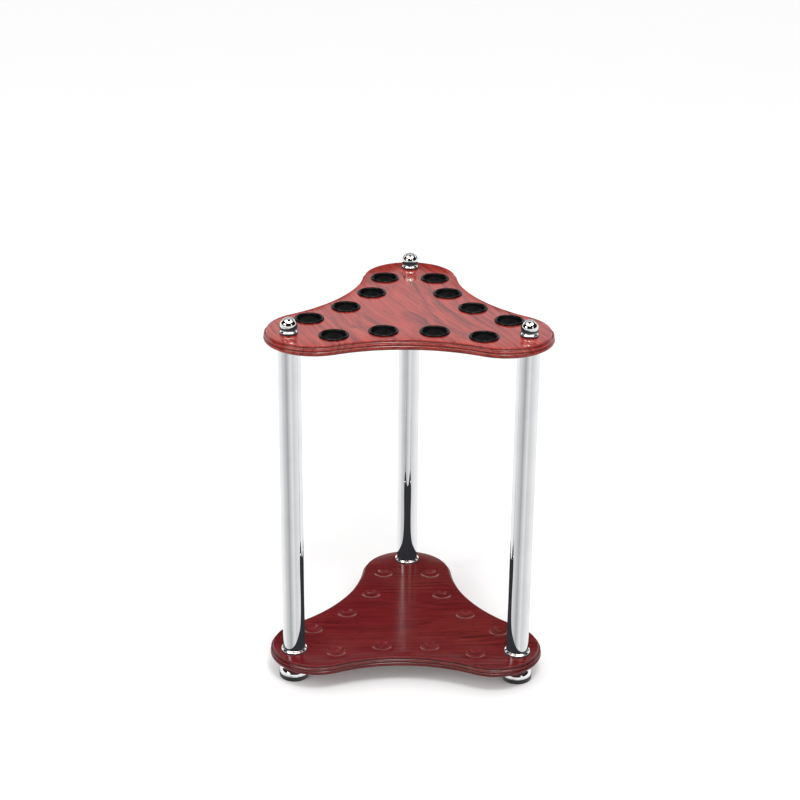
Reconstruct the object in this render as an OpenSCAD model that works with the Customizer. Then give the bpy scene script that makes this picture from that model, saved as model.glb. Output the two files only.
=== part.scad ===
// Three-post floor rack for twelve billiard cues.
// Two moulded boards are held apart by three tubes; each post has a ball finial on top and a screw
// foot below. Millimetres. The origin is on the floor under the middle of the footprint, +Z is up,
// and +Y points to the back post, so a viewer in front of the rack looks along +Y.

/* [Boards] */
// Thickness of each board
board_t = 18; // [18:0.5:22]
// Height of the base board's upper face above the floor
base_top_z = 51; // [51:1:60]
// Rise from the base board's upper face to the top board's upper face
board_rise = 590; // [450:5:700]
// Distance of each lobe's centre from the rack's axis
lobe_centre_r = 177.2; // [172:0.2:182]
// Distance from the rack's axis to the middle of each hollow side
waist_mid_r = 139.5; // [137:0.5:142]
// Half of the angle that each hollow side turns through
waist_half = 25; // [24:0.5:26]

/* [Cue places] */
// Sideways offset of the inner two cue holes of a side
cue_inner_x = 41.7; // [38:0.1:46]
// Distance of the inner two cue holes from the rack's axis, square to the side
cue_inner_y = 99.5; // [96:0.5:104]
// Sideways offset of the outer two cue holes of a side
cue_outer_x = 121.4; // [118:0.1:126]
// Distance of the outer two cue holes from the rack's axis, square to the side
cue_outer_y = 121; // [118:0.5:124]
// Radius of a grommet's bore
grommet_bore_r = 20; // [18:0.1:20.4]
// Radius of a grommet's barrel, and of the hole that it fills
grommet_barrel_r = 22; // [21.6:0.1:22.6]
// Radius of a grommet's flange
grommet_flange_r = 24.7; // [24:0.1:26]
// Height of a grommet's flange above the board
grommet_flange_h = 3; // [2.5:0.1:4]
// Radius of the dished seat under each hole
seat_r = 17; // [15:0.5:19]
// Depth of the dished seat
seat_depth = 5; // [4:0.5:6]

/* [Posts] */
// Distance of each post from the rack's axis
post_circle_r = 225; // [215:1:230]
// Outer diameter of a post tube
tube_d = 38; // [36:0.5:40]
// Wall of a post tube
tube_wall = 1.2; // [1:0.1:1.6]
// Outer radius of the collar round each tube end
collar_r = 22.5; // [22:0.5:25]
// Height of a collar
collar_h = 5; // [4:0.5:7]
// Radius of a finial's ball
finial_ball_r = 14.3; // [13:0.1:15]
// Radius of a finial's ring base
finial_ring_r = 15.2; // [15:0.1:17]

/* [Feet] */
// Radius of a foot's pad
pad_r = 26.5; // [25:0.5:28]
// Height of a foot's pad
pad_h = 8; // [7:0.5:9]
// Height of the foot's dome where the stud leaves it
dome_top_z = 22; // [21.5:0.1:22.5]
// How far a foot screws out
foot_travel = 10; // [5:1:12]

/* [Hidden] */
$fn = 96;
POSTS = ["back", "left", "right"];
POST_ANGLES = [90, 210, 330];
CUES_A_SIDE = 4;
CUE_COUNT = 3 * CUES_A_SIDE;

// The rack's axis lies behind the middle of the footprint, because the back lobe reaches further
// from the axis than the hollow front side does.
axis_y = -lobe_centre_r / 4;
top_z = base_top_z + board_rise;
tube_r = tube_d / 2;
tube_bore_r = tube_r - tube_wall;

// The hollow sides are arcs that meet the lobes with no corner: the arc's centre lies outside the
// rack, and its distance from a lobe's centre is the sum of both radii.
lobe_x = lobe_centre_r * cos(30);
lobe_y = lobe_centre_r * sin(30);
waist_centre_r = to_step(lobe_y + lobe_x / tan(waist_half), 0.001);
waist_r = waist_centre_r - waist_mid_r;
lobe_r = to_step(norm([lobe_x, waist_centre_r - lobe_y]) - waist_r, 0.001);
lobe_half = 60 + waist_half;

// Moulded edge, drawn as [inset from the widest line, depth below the upper face]. It runs on past
// both faces of the board, which are cut flat afterwards.
edge_top_inset = 5.4;
arris_r = 0.7;
fillet_depth = 2.4;
cove_r = 3.2;
band_inset = 1.1;
band_depth = 8.6;
bead_r = 3.9;
bead_depth = 13;
edge_over = 1.2;
EDGE = [for (p = concat(
    [[edge_top_inset + arris_r + 4, -0.98]],
    arc_points([edge_top_inset + arris_r, arris_r], arris_r, 300, 360, 2, -1),
    arc_points([edge_top_inset - cove_r - 0.4, fillet_depth], cove_r, 180, 90, 6, -1),
    [[band_inset, fillet_depth + cove_r + 0.6], [band_inset, band_depth], [1.9, band_depth + 0.7]],
    arc_points([bead_r, bead_depth], bead_r, -60, 70, 8, -1),
    [[bead_r, board_t - 0.6], [bead_r + 2.4, board_t + edge_over]]
)) [to_step(p[0], 0.01), to_step(p[1], 0.01)]];

// Screw sizes: M8 studs hold the finials and M10 studs carry the feet. A foot stud turns in the
// plug and in the jam nut with a small radial clearance.
finial_stud_r = 4;
finial_stud_hole_r = 4.5;
foot_stud_r = 5;
foot_thread_r = 5.05;
foot_stud_hole_r = 5.6;
plug_h = 22;
collar_floor = 1.5;
nut_flats = 17;
nut_h = 5;
washer_r = 12;
washer_h = 2;
underside_z = base_top_z - board_t;
nut_z = underside_z - washer_h - nut_h;
kept_thread = 13; // thread that a foot stud keeps in its plug when it is screwed right out
foot_stud_top = base_top_z + collar_floor + kept_thread + foot_travel;

// Nearest whole number of steps
function to_step(x, step) = round(x / step) * step;
// Points of an arc about centre c, n steps from angle a to angle b. The edge's first coordinate
// runs inwards, so side = -1 mirrors the arc.
function arc_points(c, r, a, b, n, side = 1) =
    [for (i = [0 : n]) let (t = a + (b - a) * i / n)
        [c[0] + side * r * cos(t), c[1] + r * sin(t)]];
// Centres of the cue places. Four places follow each side from left to right, and the sides turn
// about the rack's axis.
function cue_xy(k) =
    let (side = floor(k / CUES_A_SIDE), n = k % CUES_A_SIDE,
         x = [-cue_outer_x, -cue_inner_x, cue_inner_x, cue_outer_x][n],
         y = (n == 0 || n == 3) ? -cue_outer_y : -cue_inner_y,
         a = 120 * side)
    [x * cos(a) - y * sin(a), x * sin(a) + y * cos(a) + axis_y];

// Puts what follows at post i, or at every post, or at cue place k
module at_post(i) {
    translate([post_circle_r * cos(POST_ANGLES[i]), post_circle_r * sin(POST_ANGLES[i]) + axis_y, 0])
        children();
}
module at_each_post() {
    for (i = [0 : 2]) at_post(i) children();
}
module at_cue(k) {
    translate([cue_xy(k)[0], cue_xy(k)[1], 0]) children();
}

// The lobe at angle a: the moulded edge turned about the lobe's centre. It laps the core by a
// degree, and is a hair's breadth smaller, so that the two overlap cleanly and join into one solid.
module lobe(a) {
    half = lobe_half + 1;
    r = lobe_r - 0.02;
    profile = concat([[0, -EDGE[0][1]]], [for (p = EDGE) [r - p[0], -p[1]]], [[0, -board_t - edge_over]]);
    translate([lobe_centre_r * cos(a), lobe_centre_r * sin(a), 0])
        rotate([0, 0, a - half])
            rotate_extrude(angle = 2 * half)
                polygon(profile);
}
// What is cut from the hollow side at angle a: the same edge turned about the side's own centre
module waist_cut(a) {
    reach = 60;
    spare = 6;
    past = 4;
    profile = concat(
        [[waist_r - reach, past], [waist_r + EDGE[0][0], past]],
        [for (p = EDGE) [waist_r + p[0], -p[1]]],
        [[waist_r + bead_r + 2.4, -board_t - past], [waist_r - reach, -board_t - past]]
    );
    half = waist_half + spare;
    translate([waist_centre_r * cos(a), waist_centre_r * sin(a), 0])
        rotate([0, 0, a + 180 - half])
            rotate_extrude(angle = 2 * half)
                polygon(profile);
}
// A whole board with no holes, its upper face at z = 0 and the rack's axis at the origin
module board_blank() {
    overhang = 12;
    to_edge = lobe_r + overhang;
    past = 2;
    size = 4 * lobe_centre_r;
    corners = [for (a = POST_ANGLES, s = [-1, 0, 1])
        let (c = [lobe_centre_r * cos(a), lobe_centre_r * sin(a)], t = a + s * lobe_half)
        s == 0 ? c : [c[0] + to_edge * cos(t), c[1] + to_edge * sin(t)]];
    intersection() {
        union() {
            difference() {
                translate([0, 0, -board_t - past]) linear_extrude(board_t + 2 * past) polygon(corners);
                for (a = POST_ANGLES) waist_cut(a + 180);
            }
            for (a = POST_ANGLES) lobe(a);
        }
        translate([-size / 2, -size / 2, -board_t]) cube([size, size, board_t]);
    }
}

module base_board() {
    sphere_r = (seat_r * seat_r + seat_depth * seat_depth) / (2 * seat_depth);
    color("#7c2a2c")
        difference() {
            translate([0, axis_y, base_top_z]) board_blank();
            for (k = [0 : CUE_COUNT - 1])
                at_cue(k) translate([0, 0, base_top_z - seat_depth + sphere_r]) sphere(sphere_r);
            at_each_post() translate([0, 0, underside_z - 1]) cylinder(h = board_t + 2, r = foot_stud_hole_r);
        }
}

module top_board() {
    color("#9c4543")
        difference() {
            translate([0, axis_y, top_z]) board_blank();
            for (k = [0 : CUE_COUNT - 1])
                at_cue(k) translate([0, 0, top_z - board_t - 1]) cylinder(h = board_t + 2, r = grommet_barrel_r);
            at_each_post()
                translate([0, 0, top_z - board_t - 1]) cylinder(h = board_t + 2, r = finial_stud_hole_r);
        }
}

// Black bush that lines a cue hole: a thin barrel under a rounded flange
module cue_grommet(k) {
    lip_r = 2;
    profile = concat(
        [[grommet_bore_r, -board_t]],
        arc_points([grommet_bore_r + lip_r, grommet_flange_h - lip_r], lip_r, 180, 90, 6),
        arc_points([grommet_flange_r - lip_r, grommet_flange_h - lip_r], lip_r, 90, 0, 6),
        [[grommet_flange_r, 0], [grommet_barrel_r, 0], [grommet_barrel_r, -board_t]]
    );
    color("#141414") at_cue(k) translate([0, 0, top_z]) rotate_extrude() polygon(profile);
}

module post_tube(i) {
    low = base_top_z + collar_floor;
    high = top_z - board_t - collar_floor;
    color("#d8dadc")
        at_post(i)
            translate([0, 0, low])
                difference() {
                    cylinder(h = high - low, r = tube_r);
                    translate([0, 0, -1]) cylinder(h = high - low + 2, r = tube_bore_r);
                }
}

// Cup that holds a tube end: a floor with a stud hole, and a rim that leans in towards the tube
module collar(hole_r) {
    rim_inner_r = tube_r + 0.1;
    round_r = 1.6;
    rotate_extrude()
        polygon(concat(
            [[hole_r, 0], [collar_r, 0]],
            arc_points([collar_r - round_r, collar_h - 2.4], round_r, 0, 70, 5),
            arc_points([rim_inner_r + 0.9, collar_h - 0.7], 0.7, 80, 180, 4),
            [[rim_inner_r, collar_floor], [hole_r, collar_floor]]
        ));
}
module base_collar(i) {
    color("#e6e8ea") at_post(i) translate([0, 0, base_top_z]) collar(foot_stud_hole_r);
}
module top_collar(i) {
    color("#e6e8ea")
        at_post(i) translate([0, 0, top_z - board_t]) rotate([180, 0, 0]) collar(finial_stud_hole_r);
}

// Threaded plug pressed into a tube end, with a groove that the tube is crimped into
module plug(thread_r) {
    chamfer = 1;
    groove = 0.6;
    rotate_extrude()
        polygon([
            [thread_r, 0], [tube_bore_r, 0], [tube_bore_r, plug_h * 0.4],
            [tube_bore_r - groove, plug_h * 0.45], [tube_bore_r - groove, plug_h * 0.55],
            [tube_bore_r, plug_h * 0.6], [tube_bore_r, plug_h - chamfer],
            [tube_bore_r - chamfer, plug_h], [thread_r, plug_h]
        ]);
}
module base_plug(i) {
    color("#8f9296") at_post(i) translate([0, 0, base_top_z + collar_floor]) plug(foot_thread_r);
}
module top_plug(i) {
    color("#8f9296")
        at_post(i)
            translate([0, 0, top_z - board_t - collar_floor]) rotate([180, 0, 0]) plug(finial_stud_r);
}

// Ball on a ring base, bored from below for its stud
finial_ring_h = 6;
finial_ball_z = 13.4;
finial_bore_h = 13;
module finial(i) {
    ring_round = finial_ring_h / 2;
    neck_r = sqrt(pow(finial_ball_r, 2) - pow(finial_ball_z - finial_ring_h, 2));
    color("#dfe2e4")
        at_post(i)
            translate([0, 0, top_z])
                difference() {
                    union() {
                        rotate_extrude()
                            polygon(concat(
                                [[0, 0]],
                                arc_points([finial_ring_r - ring_round, ring_round], ring_round, -90, 90, 10),
                                [[neck_r + 1, finial_ring_h], [neck_r + 0.2, finial_ring_h + 0.8],
                                 [0, finial_ring_h + 0.8]]
                            ));
                        translate([0, 0, finial_ball_z]) sphere(finial_ball_r);
                    }
                    translate([0, 0, -1]) cylinder(h = finial_bore_h + 1, r = finial_stud_r);
                    translate([0, 0, -finial_ball_r]) cylinder(h = finial_ball_r, r = finial_ring_r + 1);
                }
}
module finial_studs() {
    low = top_z - board_t - collar_floor - plug_h + 4;
    color("#9a9da1")
        at_each_post() translate([0, 0, low]) cylinder(h = top_z + finial_bore_h - 0.5 - low, r = finial_stud_r);
}

// Hexagon with both ends chamfered, standing on z = 0
module hexagon(flats, h) {
    corner_r = flats / sqrt(3);
    chamfer = 0.6;
    intersection() {
        rotate([0, 0, 30]) cylinder(h = h, r = corner_r, $fn = 6);
        rotate_extrude()
            polygon([[0, 0], [corner_r - chamfer * 2, 0], [corner_r, chamfer], [corner_r, h - chamfer],
                     [corner_r - chamfer * 2, h], [0, h]]);
    }
}
module jam_nuts() {
    color("#b9bcc0")
        at_each_post()
            translate([0, 0, nut_z])
                difference() {
                    hexagon(nut_flats, nut_h);
                    translate([0, 0, -1]) cylinder(h = nut_h + 2, r = foot_thread_r);
                }
}
module jam_washers() {
    color("#b9bcc0")
        at_each_post()
            translate([0, 0, underside_z - washer_h])
                difference() {
                    cylinder(h = washer_h, r = washer_r);
                    translate([0, 0, -1]) cylinder(h = washer_h + 2, r = foot_stud_hole_r);
                }
}

// Screw foot. The stud's button turns between the pad's boss and the dome's crown, and its hexagon
// is turned by hand or with a spanner.
button_r = 7.5;
button_h = 2.6;
dome_wall = 1.2;
crown_step = 0.6; // the dome's crown stands this far above its shoulder
boss_h = dome_top_z - crown_step - dome_wall - button_h - 0.4;
module foot_stud(i) {
    hex_low = dome_top_z + 0.2;
    hex_high = nut_z - 0.1;
    color("#c4c7ca")
        at_post(i) {
            translate([0, 0, boss_h + 0.2]) cylinder(h = button_h, r = button_r);
            translate([0, 0, boss_h + 0.2]) cylinder(h = foot_stud_top - boss_h - 0.2, r = foot_stud_r);
            translate([0, 0, hex_low]) hexagon(14, hex_high - hex_low);
        }
}
module foot_dome(i) {
    rim_r = pad_r - 0.8;
    crown_r = 9;
    rim_z = pad_h + 1;
    rise = dome_top_z - crown_step - rim_z;
    outside = [for (t = [0 : 9 : 90]) [crown_r + (rim_r - crown_r) * cos(t), rim_z + rise * sin(t)]];
    inside = [for (t = [90 : -9 : 0])
        [crown_r + (rim_r - crown_r - dome_wall) * cos(t), rim_z + (rise - dome_wall) * sin(t)]];
    color("#dcdfe1")
        at_post(i)
            rotate_extrude()
                polygon(concat(
                    [[rim_r, pad_h]], outside,
                    [[crown_r - crown_step, dome_top_z], [foot_stud_r + 0.2, dome_top_z],
                     [foot_stud_r + 0.2, dome_top_z - crown_step - dome_wall]],
                    inside, [[rim_r - dome_wall, pad_h]]
                ));
}
module foot_pad(i) {
    round_r = 1.2;
    lip_r = pad_r - 2.7;
    boss_r = 8;
    color("#101010")
        at_post(i)
            rotate_extrude()
                polygon(concat(
                    [[0, 0]],
                    arc_points([pad_r - round_r, round_r], round_r, -90, 0, 5),
                    arc_points([pad_r - 0.6, pad_h - 0.6], 0.6, 0, 90, 3),
                    [[lip_r, pad_h], [lip_r, pad_h + 2], [lip_r - 1.8, pad_h + 2], [lip_r - 1.8, pad_h],
                     [boss_r, pad_h], [boss_r, boss_h], [0, boss_h]]
                ));
}

base_board();
top_board();
finial_studs();
jam_nuts();
jam_washers();
for (i = [0 : 2]) {
    post_tube(i);
    base_collar(i);
    top_collar(i);
    base_plug(i);
    top_plug(i);
    finial(i);
    foot_stud(i);
    foot_dome(i);
    foot_pad(i);
}
for (k = [0 : CUE_COUNT - 1])
    cue_grommet(k);
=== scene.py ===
"""Looks of a free-standing cue rack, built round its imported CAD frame.

Two lacquered boards, three chromed posts and three screw feet. All places come from the frame, in
metres. Every new piece is a surface on a grid of two parameters, worked out as whole arrays.
"""

import math

import bmesh
import bpy
import numpy as np
from bpy.props import FloatProperty, FloatVectorProperty, IntProperty, PointerProperty
from mathutils import Matrix, Vector


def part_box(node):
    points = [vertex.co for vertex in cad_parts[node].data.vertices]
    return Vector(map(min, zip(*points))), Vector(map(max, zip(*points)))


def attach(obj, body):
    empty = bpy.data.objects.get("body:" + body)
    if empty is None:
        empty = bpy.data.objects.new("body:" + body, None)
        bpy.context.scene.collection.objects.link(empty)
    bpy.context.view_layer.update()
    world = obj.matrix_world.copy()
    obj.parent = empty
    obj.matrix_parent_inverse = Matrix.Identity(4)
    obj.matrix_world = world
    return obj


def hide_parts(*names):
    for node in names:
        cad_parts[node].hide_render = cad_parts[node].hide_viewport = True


bl_info = {
    "name": "Cue Rack",
    "version": (1, 0, 0),
    "blender": (4, 5, 0),
    "location": "View3D > Sidebar > Cue Rack",
    "description": "Builds the boards, grommets, posts and feet of a free-standing cue rack",
    "category": "Add Mesh",
}

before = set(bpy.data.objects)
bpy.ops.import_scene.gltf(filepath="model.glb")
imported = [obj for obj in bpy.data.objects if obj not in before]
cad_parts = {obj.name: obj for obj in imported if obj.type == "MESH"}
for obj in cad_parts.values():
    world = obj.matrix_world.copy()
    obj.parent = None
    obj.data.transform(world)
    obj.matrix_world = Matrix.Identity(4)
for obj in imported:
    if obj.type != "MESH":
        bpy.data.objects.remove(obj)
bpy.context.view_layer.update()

MM = 0.001
POSTS = ("back", "left", "right")
LOBE_ANGLES = np.array((330.0, 90.0, 210.0))
HALF_LOBE_GAP = 60.0
CUE_COUNT = 12
TURN_STEPS = 96
LEVEL_NORMAL = 0.99999  # a face whose normal's upward part is over this is level, and shaded flat
CREASE = math.radians(35)
SAME_PLACE = 1e-6
HOLE_CHAMFER = 0.3 * MM


def middle(node):
    """Middle of a CAD node's box: the mean of its lowest and highest corners."""
    low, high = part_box(node)
    return (np.array(low) + np.array(high)) / 2


POST_PLACES = {post: middle(f"post_tube_{post}")[:2] for post in POSTS}
CUE_PLACES = [middle(f"cue_grommet_{k}")[:2] for k in range(1, CUE_COUNT + 1)]
RACK_AXIS = np.mean(list(POST_PLACES.values()), axis=0)
BASE_LOW, BASE_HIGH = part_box("base_board")
TOP_LOW, TOP_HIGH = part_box("top_board")


# Sizes and colours ---------------------------------------------------------------------------


class RackBoards(bpy.types.PropertyGroup):
    """Sizes of the boards' moulded edge and of what is cut into them"""

    waist_turn: FloatProperty(
        name="Hollow side turn",
        description="Half of the angle that each hollow side turns through",
        default=math.radians(25),
        subtype="ANGLE",
    )
    edge_inset: FloatProperty(
        name="Top inset",
        description="How far the flat top ends inside the board's widest line",
        default=5.4 * MM,
        unit="LENGTH",
    )
    arris: FloatProperty(
        name="Arris",
        description="Radius of the rounded top corner",
        default=0.7 * MM,
        unit="LENGTH",
    )
    fillet_depth: FloatProperty(
        name="Fillet depth",
        description="Depth at which the upright fillet ends and the cove starts",
        default=2.4 * MM,
        unit="LENGTH",
    )
    cove: FloatProperty(
        name="Cove",
        description="Radius of the hollow under the fillet",
        default=3.2 * MM,
        unit="LENGTH",
    )
    band_depth: FloatProperty(
        name="Band depth",
        description="Depth at which the upright band under the cove ends",
        default=8.6 * MM,
        unit="LENGTH",
    )
    bead: FloatProperty(
        name="Bead",
        description="Radius of the round bead at the widest line",
        default=3.9 * MM,
        unit="LENGTH",
    )
    bead_depth: FloatProperty(
        name="Bead depth",
        description="Depth of the bead's middle below the upper face",
        default=13 * MM,
        unit="LENGTH",
    )
    softening: FloatProperty(
        name="Softening",
        description="How far from each corner of the moulding the lacquer rounds it",
        default=0.35 * MM,
        unit="LENGTH",
    )
    seat_radius: FloatProperty(
        name="Seat radius",
        description="Radius of the dished seat for a cue's butt",
        default=17 * MM,
        unit="LENGTH",
    )
    seat_depth: FloatProperty(
        name="Seat depth",
        description="Depth of the dished seat",
        default=5 * MM,
        unit="LENGTH",
    )
    seat_lip: FloatProperty(
        name="Seat lip",
        description="Radius of the rounding round a seat's rim",
        default=1.2 * MM,
        unit="LENGTH",
    )
    grommet_hole: FloatProperty(
        name="Grommet hole",
        description="Radius of the holes in the top board that the grommets fill",
        default=22.05 * MM,
        unit="LENGTH",
    )
    foot_hole: FloatProperty(
        name="Foot stud hole",
        description="Radius of the base board's holes for the foot studs",
        default=5.6 * MM,
        unit="LENGTH",
    )
    finial_hole: FloatProperty(
        name="Finial stud hole",
        description="Radius of the top board's holes for the finial studs",
        default=4.5 * MM,
        unit="LENGTH",
    )


class RackFittings(bpy.types.PropertyGroup):
    """Sizes of the grommets, posts, finials and feet"""

    grommet_bore: FloatProperty(
        name="Grommet bore",
        description="Radius of the hole that a cue passes through",
        default=20 * MM,
        unit="LENGTH",
    )
    grommet_barrel: FloatProperty(
        name="Grommet barrel",
        description="Outer radius of a grommet below its flange",
        default=22 * MM,
        unit="LENGTH",
    )
    grommet_round: FloatProperty(
        name="Grommet rounding",
        description="Radius of the flange's rounded edges",
        default=2 * MM,
        unit="LENGTH",
    )
    tube_wall: FloatProperty(
        name="Tube wall",
        description="Wall of a post tube",
        default=1.2 * MM,
        unit="LENGTH",
    )
    collar_floor: FloatProperty(
        name="Collar floor",
        description="Thickness of a collar under the tube's end",
        default=1.5 * MM,
        unit="LENGTH",
    )
    finial_ball: FloatProperty(
        name="Finial ball",
        description="Radius of a finial's ball",
        default=14.3 * MM,
        unit="LENGTH",
    )
    finial_ring: FloatProperty(
        name="Finial ring height",
        description="Height of the rounded ring under the ball",
        default=6 * MM,
        unit="LENGTH",
    )
    thread_pitch: FloatProperty(
        name="Thread pitch",
        description="Rise of the foot stud's thread in one turn",
        default=1.5 * MM,
        unit="LENGTH",
    )
    thread_depth: FloatProperty(
        name="Thread depth",
        description="Depth of the foot stud's thread",
        default=0.9 * MM,
        unit="LENGTH",
    )
    stud_flats: FloatProperty(
        name="Stud flats",
        description="Distance across the flats of the foot stud's hexagon",
        default=14 * MM,
        unit="LENGTH",
    )
    nut_flats: FloatProperty(
        name="Nut flats",
        description="Distance across the flats of the jam nut",
        default=17 * MM,
        unit="LENGTH",
    )
    tread_rings: IntProperty(
        name="Tread rings",
        description="Number of grooves moulded under a foot pad",
        default=4,
        min=1,
        max=8,
    )


class RackFinishes(bpy.types.PropertyGroup):
    """Colours and gloss of the wood, chrome, plastic, rubber and steel"""

    top_stain: FloatVectorProperty(
        name="Top stain",
        description="Colour of the top board between its streaks",
        default=(0.45, 0.046, 0.035),
        subtype="COLOR",
    )
    top_streak: FloatVectorProperty(
        name="Top streak",
        description="Colour of the top board's dark streaks",
        default=(0.13, 0.008, 0.008),
        subtype="COLOR",
    )
    # The base board's stain and streaks are darker than the top board's. This is partly the wood's own
    # colour and partly painted shade from the top board above it.
    base_stain_and_shade: FloatVectorProperty(
        name="Base stain and shade",
        description="Colour of the base board between its grain lines",
        default=(0.175, 0.010, 0.013),
        subtype="COLOR",
    )
    base_streak_and_shade: FloatVectorProperty(
        name="Base streak and shade",
        description="Colour of the base board's dark grain lines",
        default=(0.075, 0.004, 0.005),
        subtype="COLOR",
    )
    patch: FloatVectorProperty(
        name="Warm patches",
        description="Colour of the orange-brown patches under the lacquer",
        default=(0.48, 0.080, 0.052),
        subtype="COLOR",
    )
    chrome: FloatVectorProperty(
        name="Chrome",
        description="Colour of the chromed tubes, collars, finials and domes",
        default=(0.88, 0.89, 0.90),
        subtype="COLOR",
    )
    steel: FloatVectorProperty(
        name="Zinc steel",
        description="Colour of the plated nuts, washers, studs and plugs",
        default=(0.56, 0.57, 0.58),
        subtype="COLOR",
    )
    plastic: FloatVectorProperty(
        name="Grommet black",
        description="Colour of the moulded grommets",
        default=(0.004, 0.004, 0.0045),
        subtype="COLOR",
    )
    rubber: FloatVectorProperty(
        name="Pad black",
        description="Colour of the foot pads",
        default=(0.012, 0.012, 0.012),
        subtype="COLOR",
    )


class RackStudio(bpy.types.PropertyGroup):
    """Light, floor and camera"""

    sky: FloatProperty(
        name="Sky",
        description="Brightness of the even white surroundings",
        default=1.04,
    )
    overhead: FloatProperty(
        name="Overhead light",
        description="Power of the soft light above the rack, in watts",
        default=30.0,
    )
    side: FloatProperty(
        name="Side light",
        description="Power of the soft light at the front left, in watts",
        default=14.0,
    )
    floor_colour: FloatVectorProperty(
        name="Floor",
        description="Colour of the floor",
        default=(0.99, 0.99, 0.99),
        subtype="COLOR",
    )
    floor_glow: FloatProperty(
        name="Floor glow",
        description="Light that comes through the floor paper from below",
        default=0.08,
    )
    floor_size: FloatProperty(
        name="Floor size",
        description="Side of the square floor",
        default=40.0,
        unit="LENGTH",
    )
    camera_lens: FloatProperty(
        name="Lens",
        description="Focal length of the camera on a 36 mm sensor, in millimetres",
        default=79.3,
    )


# Shapes --------------------------------------------------------------------------------------


def arc(centre, radius, start, end, steps, side=1):
    """Points of a circle's arc: the centre plus the radius times the cosine and the sine of evenly
    spaced angles from start to end, in degrees. side = -1 mirrors the first coordinate."""
    angle = np.radians(np.linspace(start, end, steps + 1))
    return np.column_stack(
        (centre[0] + side * radius * np.cos(angle), centre[1] + radius * np.sin(angle))
    )


def soften(profile, reach, steps=2, side_share=0.4):
    """Rounds each inner corner P of an open profile by a parabola from A to B, which lie on the two
    sides at the reach, or at a share of a shorter side: (1-t)(1-t) A + 2t(1-t) P + tt B."""
    corner = profile[1:-1]
    to_last = profile[:-2] - corner
    to_next = profile[2:] - corner
    last_length = np.linalg.norm(to_last, axis=1, keepdims=True)
    next_length = np.linalg.norm(to_next, axis=1, keepdims=True)
    a = corner + to_last / last_length * np.minimum(reach, side_share * last_length)
    b = corner + to_next / next_length * np.minimum(reach, side_share * next_length)
    t = np.linspace(0, 1, steps + 1)[None, :, None]
    rounded = (1 - t) ** 2 * a[:, None] + 2 * t * (1 - t) * corner[:, None] + t**2 * b[:, None]
    return np.vstack((profile[:1], rounded.reshape(-1, 2), profile[-1:]))


def closed(profile):
    """A closed profile, opened at the middle of its last side so that its corners can be softened."""
    seam = (profile[:1] + profile[-1:]) / 2
    return np.vstack((seam, profile, seam))


def turned(place, heights, radii, steps=TURN_STEPS):
    """Surface round an upright axis at a place: x = place x + r cos(angle), y = place y + r sin(angle)
    and z = height. The radii are one for each height, or one for each height and angle."""
    angle = np.linspace(0, 2 * np.pi, steps, endpoint=False)
    heights = np.asarray(heights, float)
    r = np.broadcast_to(np.reshape(radii, (len(heights), -1)), (len(heights), steps))
    z = np.broadcast_to(heights[:, None], r.shape)
    return np.stack((place[0] + r * np.cos(angle), place[1] + r * np.sin(angle), z), axis=2)


def lathe(place, profile, steps=TURN_STEPS):
    """A profile of radius and height turned round an upright axis at a place."""
    return turned(place, profile[:, 1], profile[:, 0], steps)


def round_radii(radii, steps=TURN_STEPS):
    """Radii that are the same all round, one row for each."""
    return np.repeat(np.asarray(radii, float)[:, None], steps, axis=1)


def end_heights(low, high, reach, steps):
    """Heights close together within the reach of both ends, where the chamfers lie."""
    return np.concatenate((np.linspace(low, low + reach, steps), np.linspace(high - reach, high, steps)))


def hexagon_radii(flats, heights, low, high, chamfer, steps=TURN_STEPS):
    """Radii of a chamfered hexagon at each height and angle: half the flats over the cosine of the
    angle from the nearest flat's middle, or the cone of the chamfer where that is smaller."""
    angle = np.linspace(0, 360, steps, endpoint=False)
    from_flat = np.radians((angle + 30) % 60 - 30)
    side = flats / 2 / np.cos(from_flat)
    corner = flats / 2 / math.cos(math.radians(30))
    from_end = np.minimum(heights - low, high - heights)
    cone = corner - chamfer + np.minimum(from_end / math.tan(math.radians(30)), chamfer)
    return np.minimum(side[None, :], cone[:, None])


def thread_radii(heights, crest, depth, pitch, low, high, steps=TURN_STEPS):
    """Radii of a screw thread: the crest less the depth times a triangle wave of height over pitch
    less angle over a whole turn. The wave is stretched and cut off, which leaves a flat crest and
    root. The thread runs out to its root over one pitch at both ends."""
    stretch, crest_flat = 1.25, 0.1
    angle = np.linspace(0, 1, steps, endpoint=False)
    phase = (heights[:, None] / pitch - angle[None, :]) % 1
    wave = np.clip(np.abs(2 * phase - 1) * stretch - crest_flat, 0, 1)
    from_end = np.minimum(heights - low, high - heights)
    grown = np.clip(from_end / pitch, 0, 1)
    return crest - depth * (1 - grown[:, None] * (1 - wave))


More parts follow.
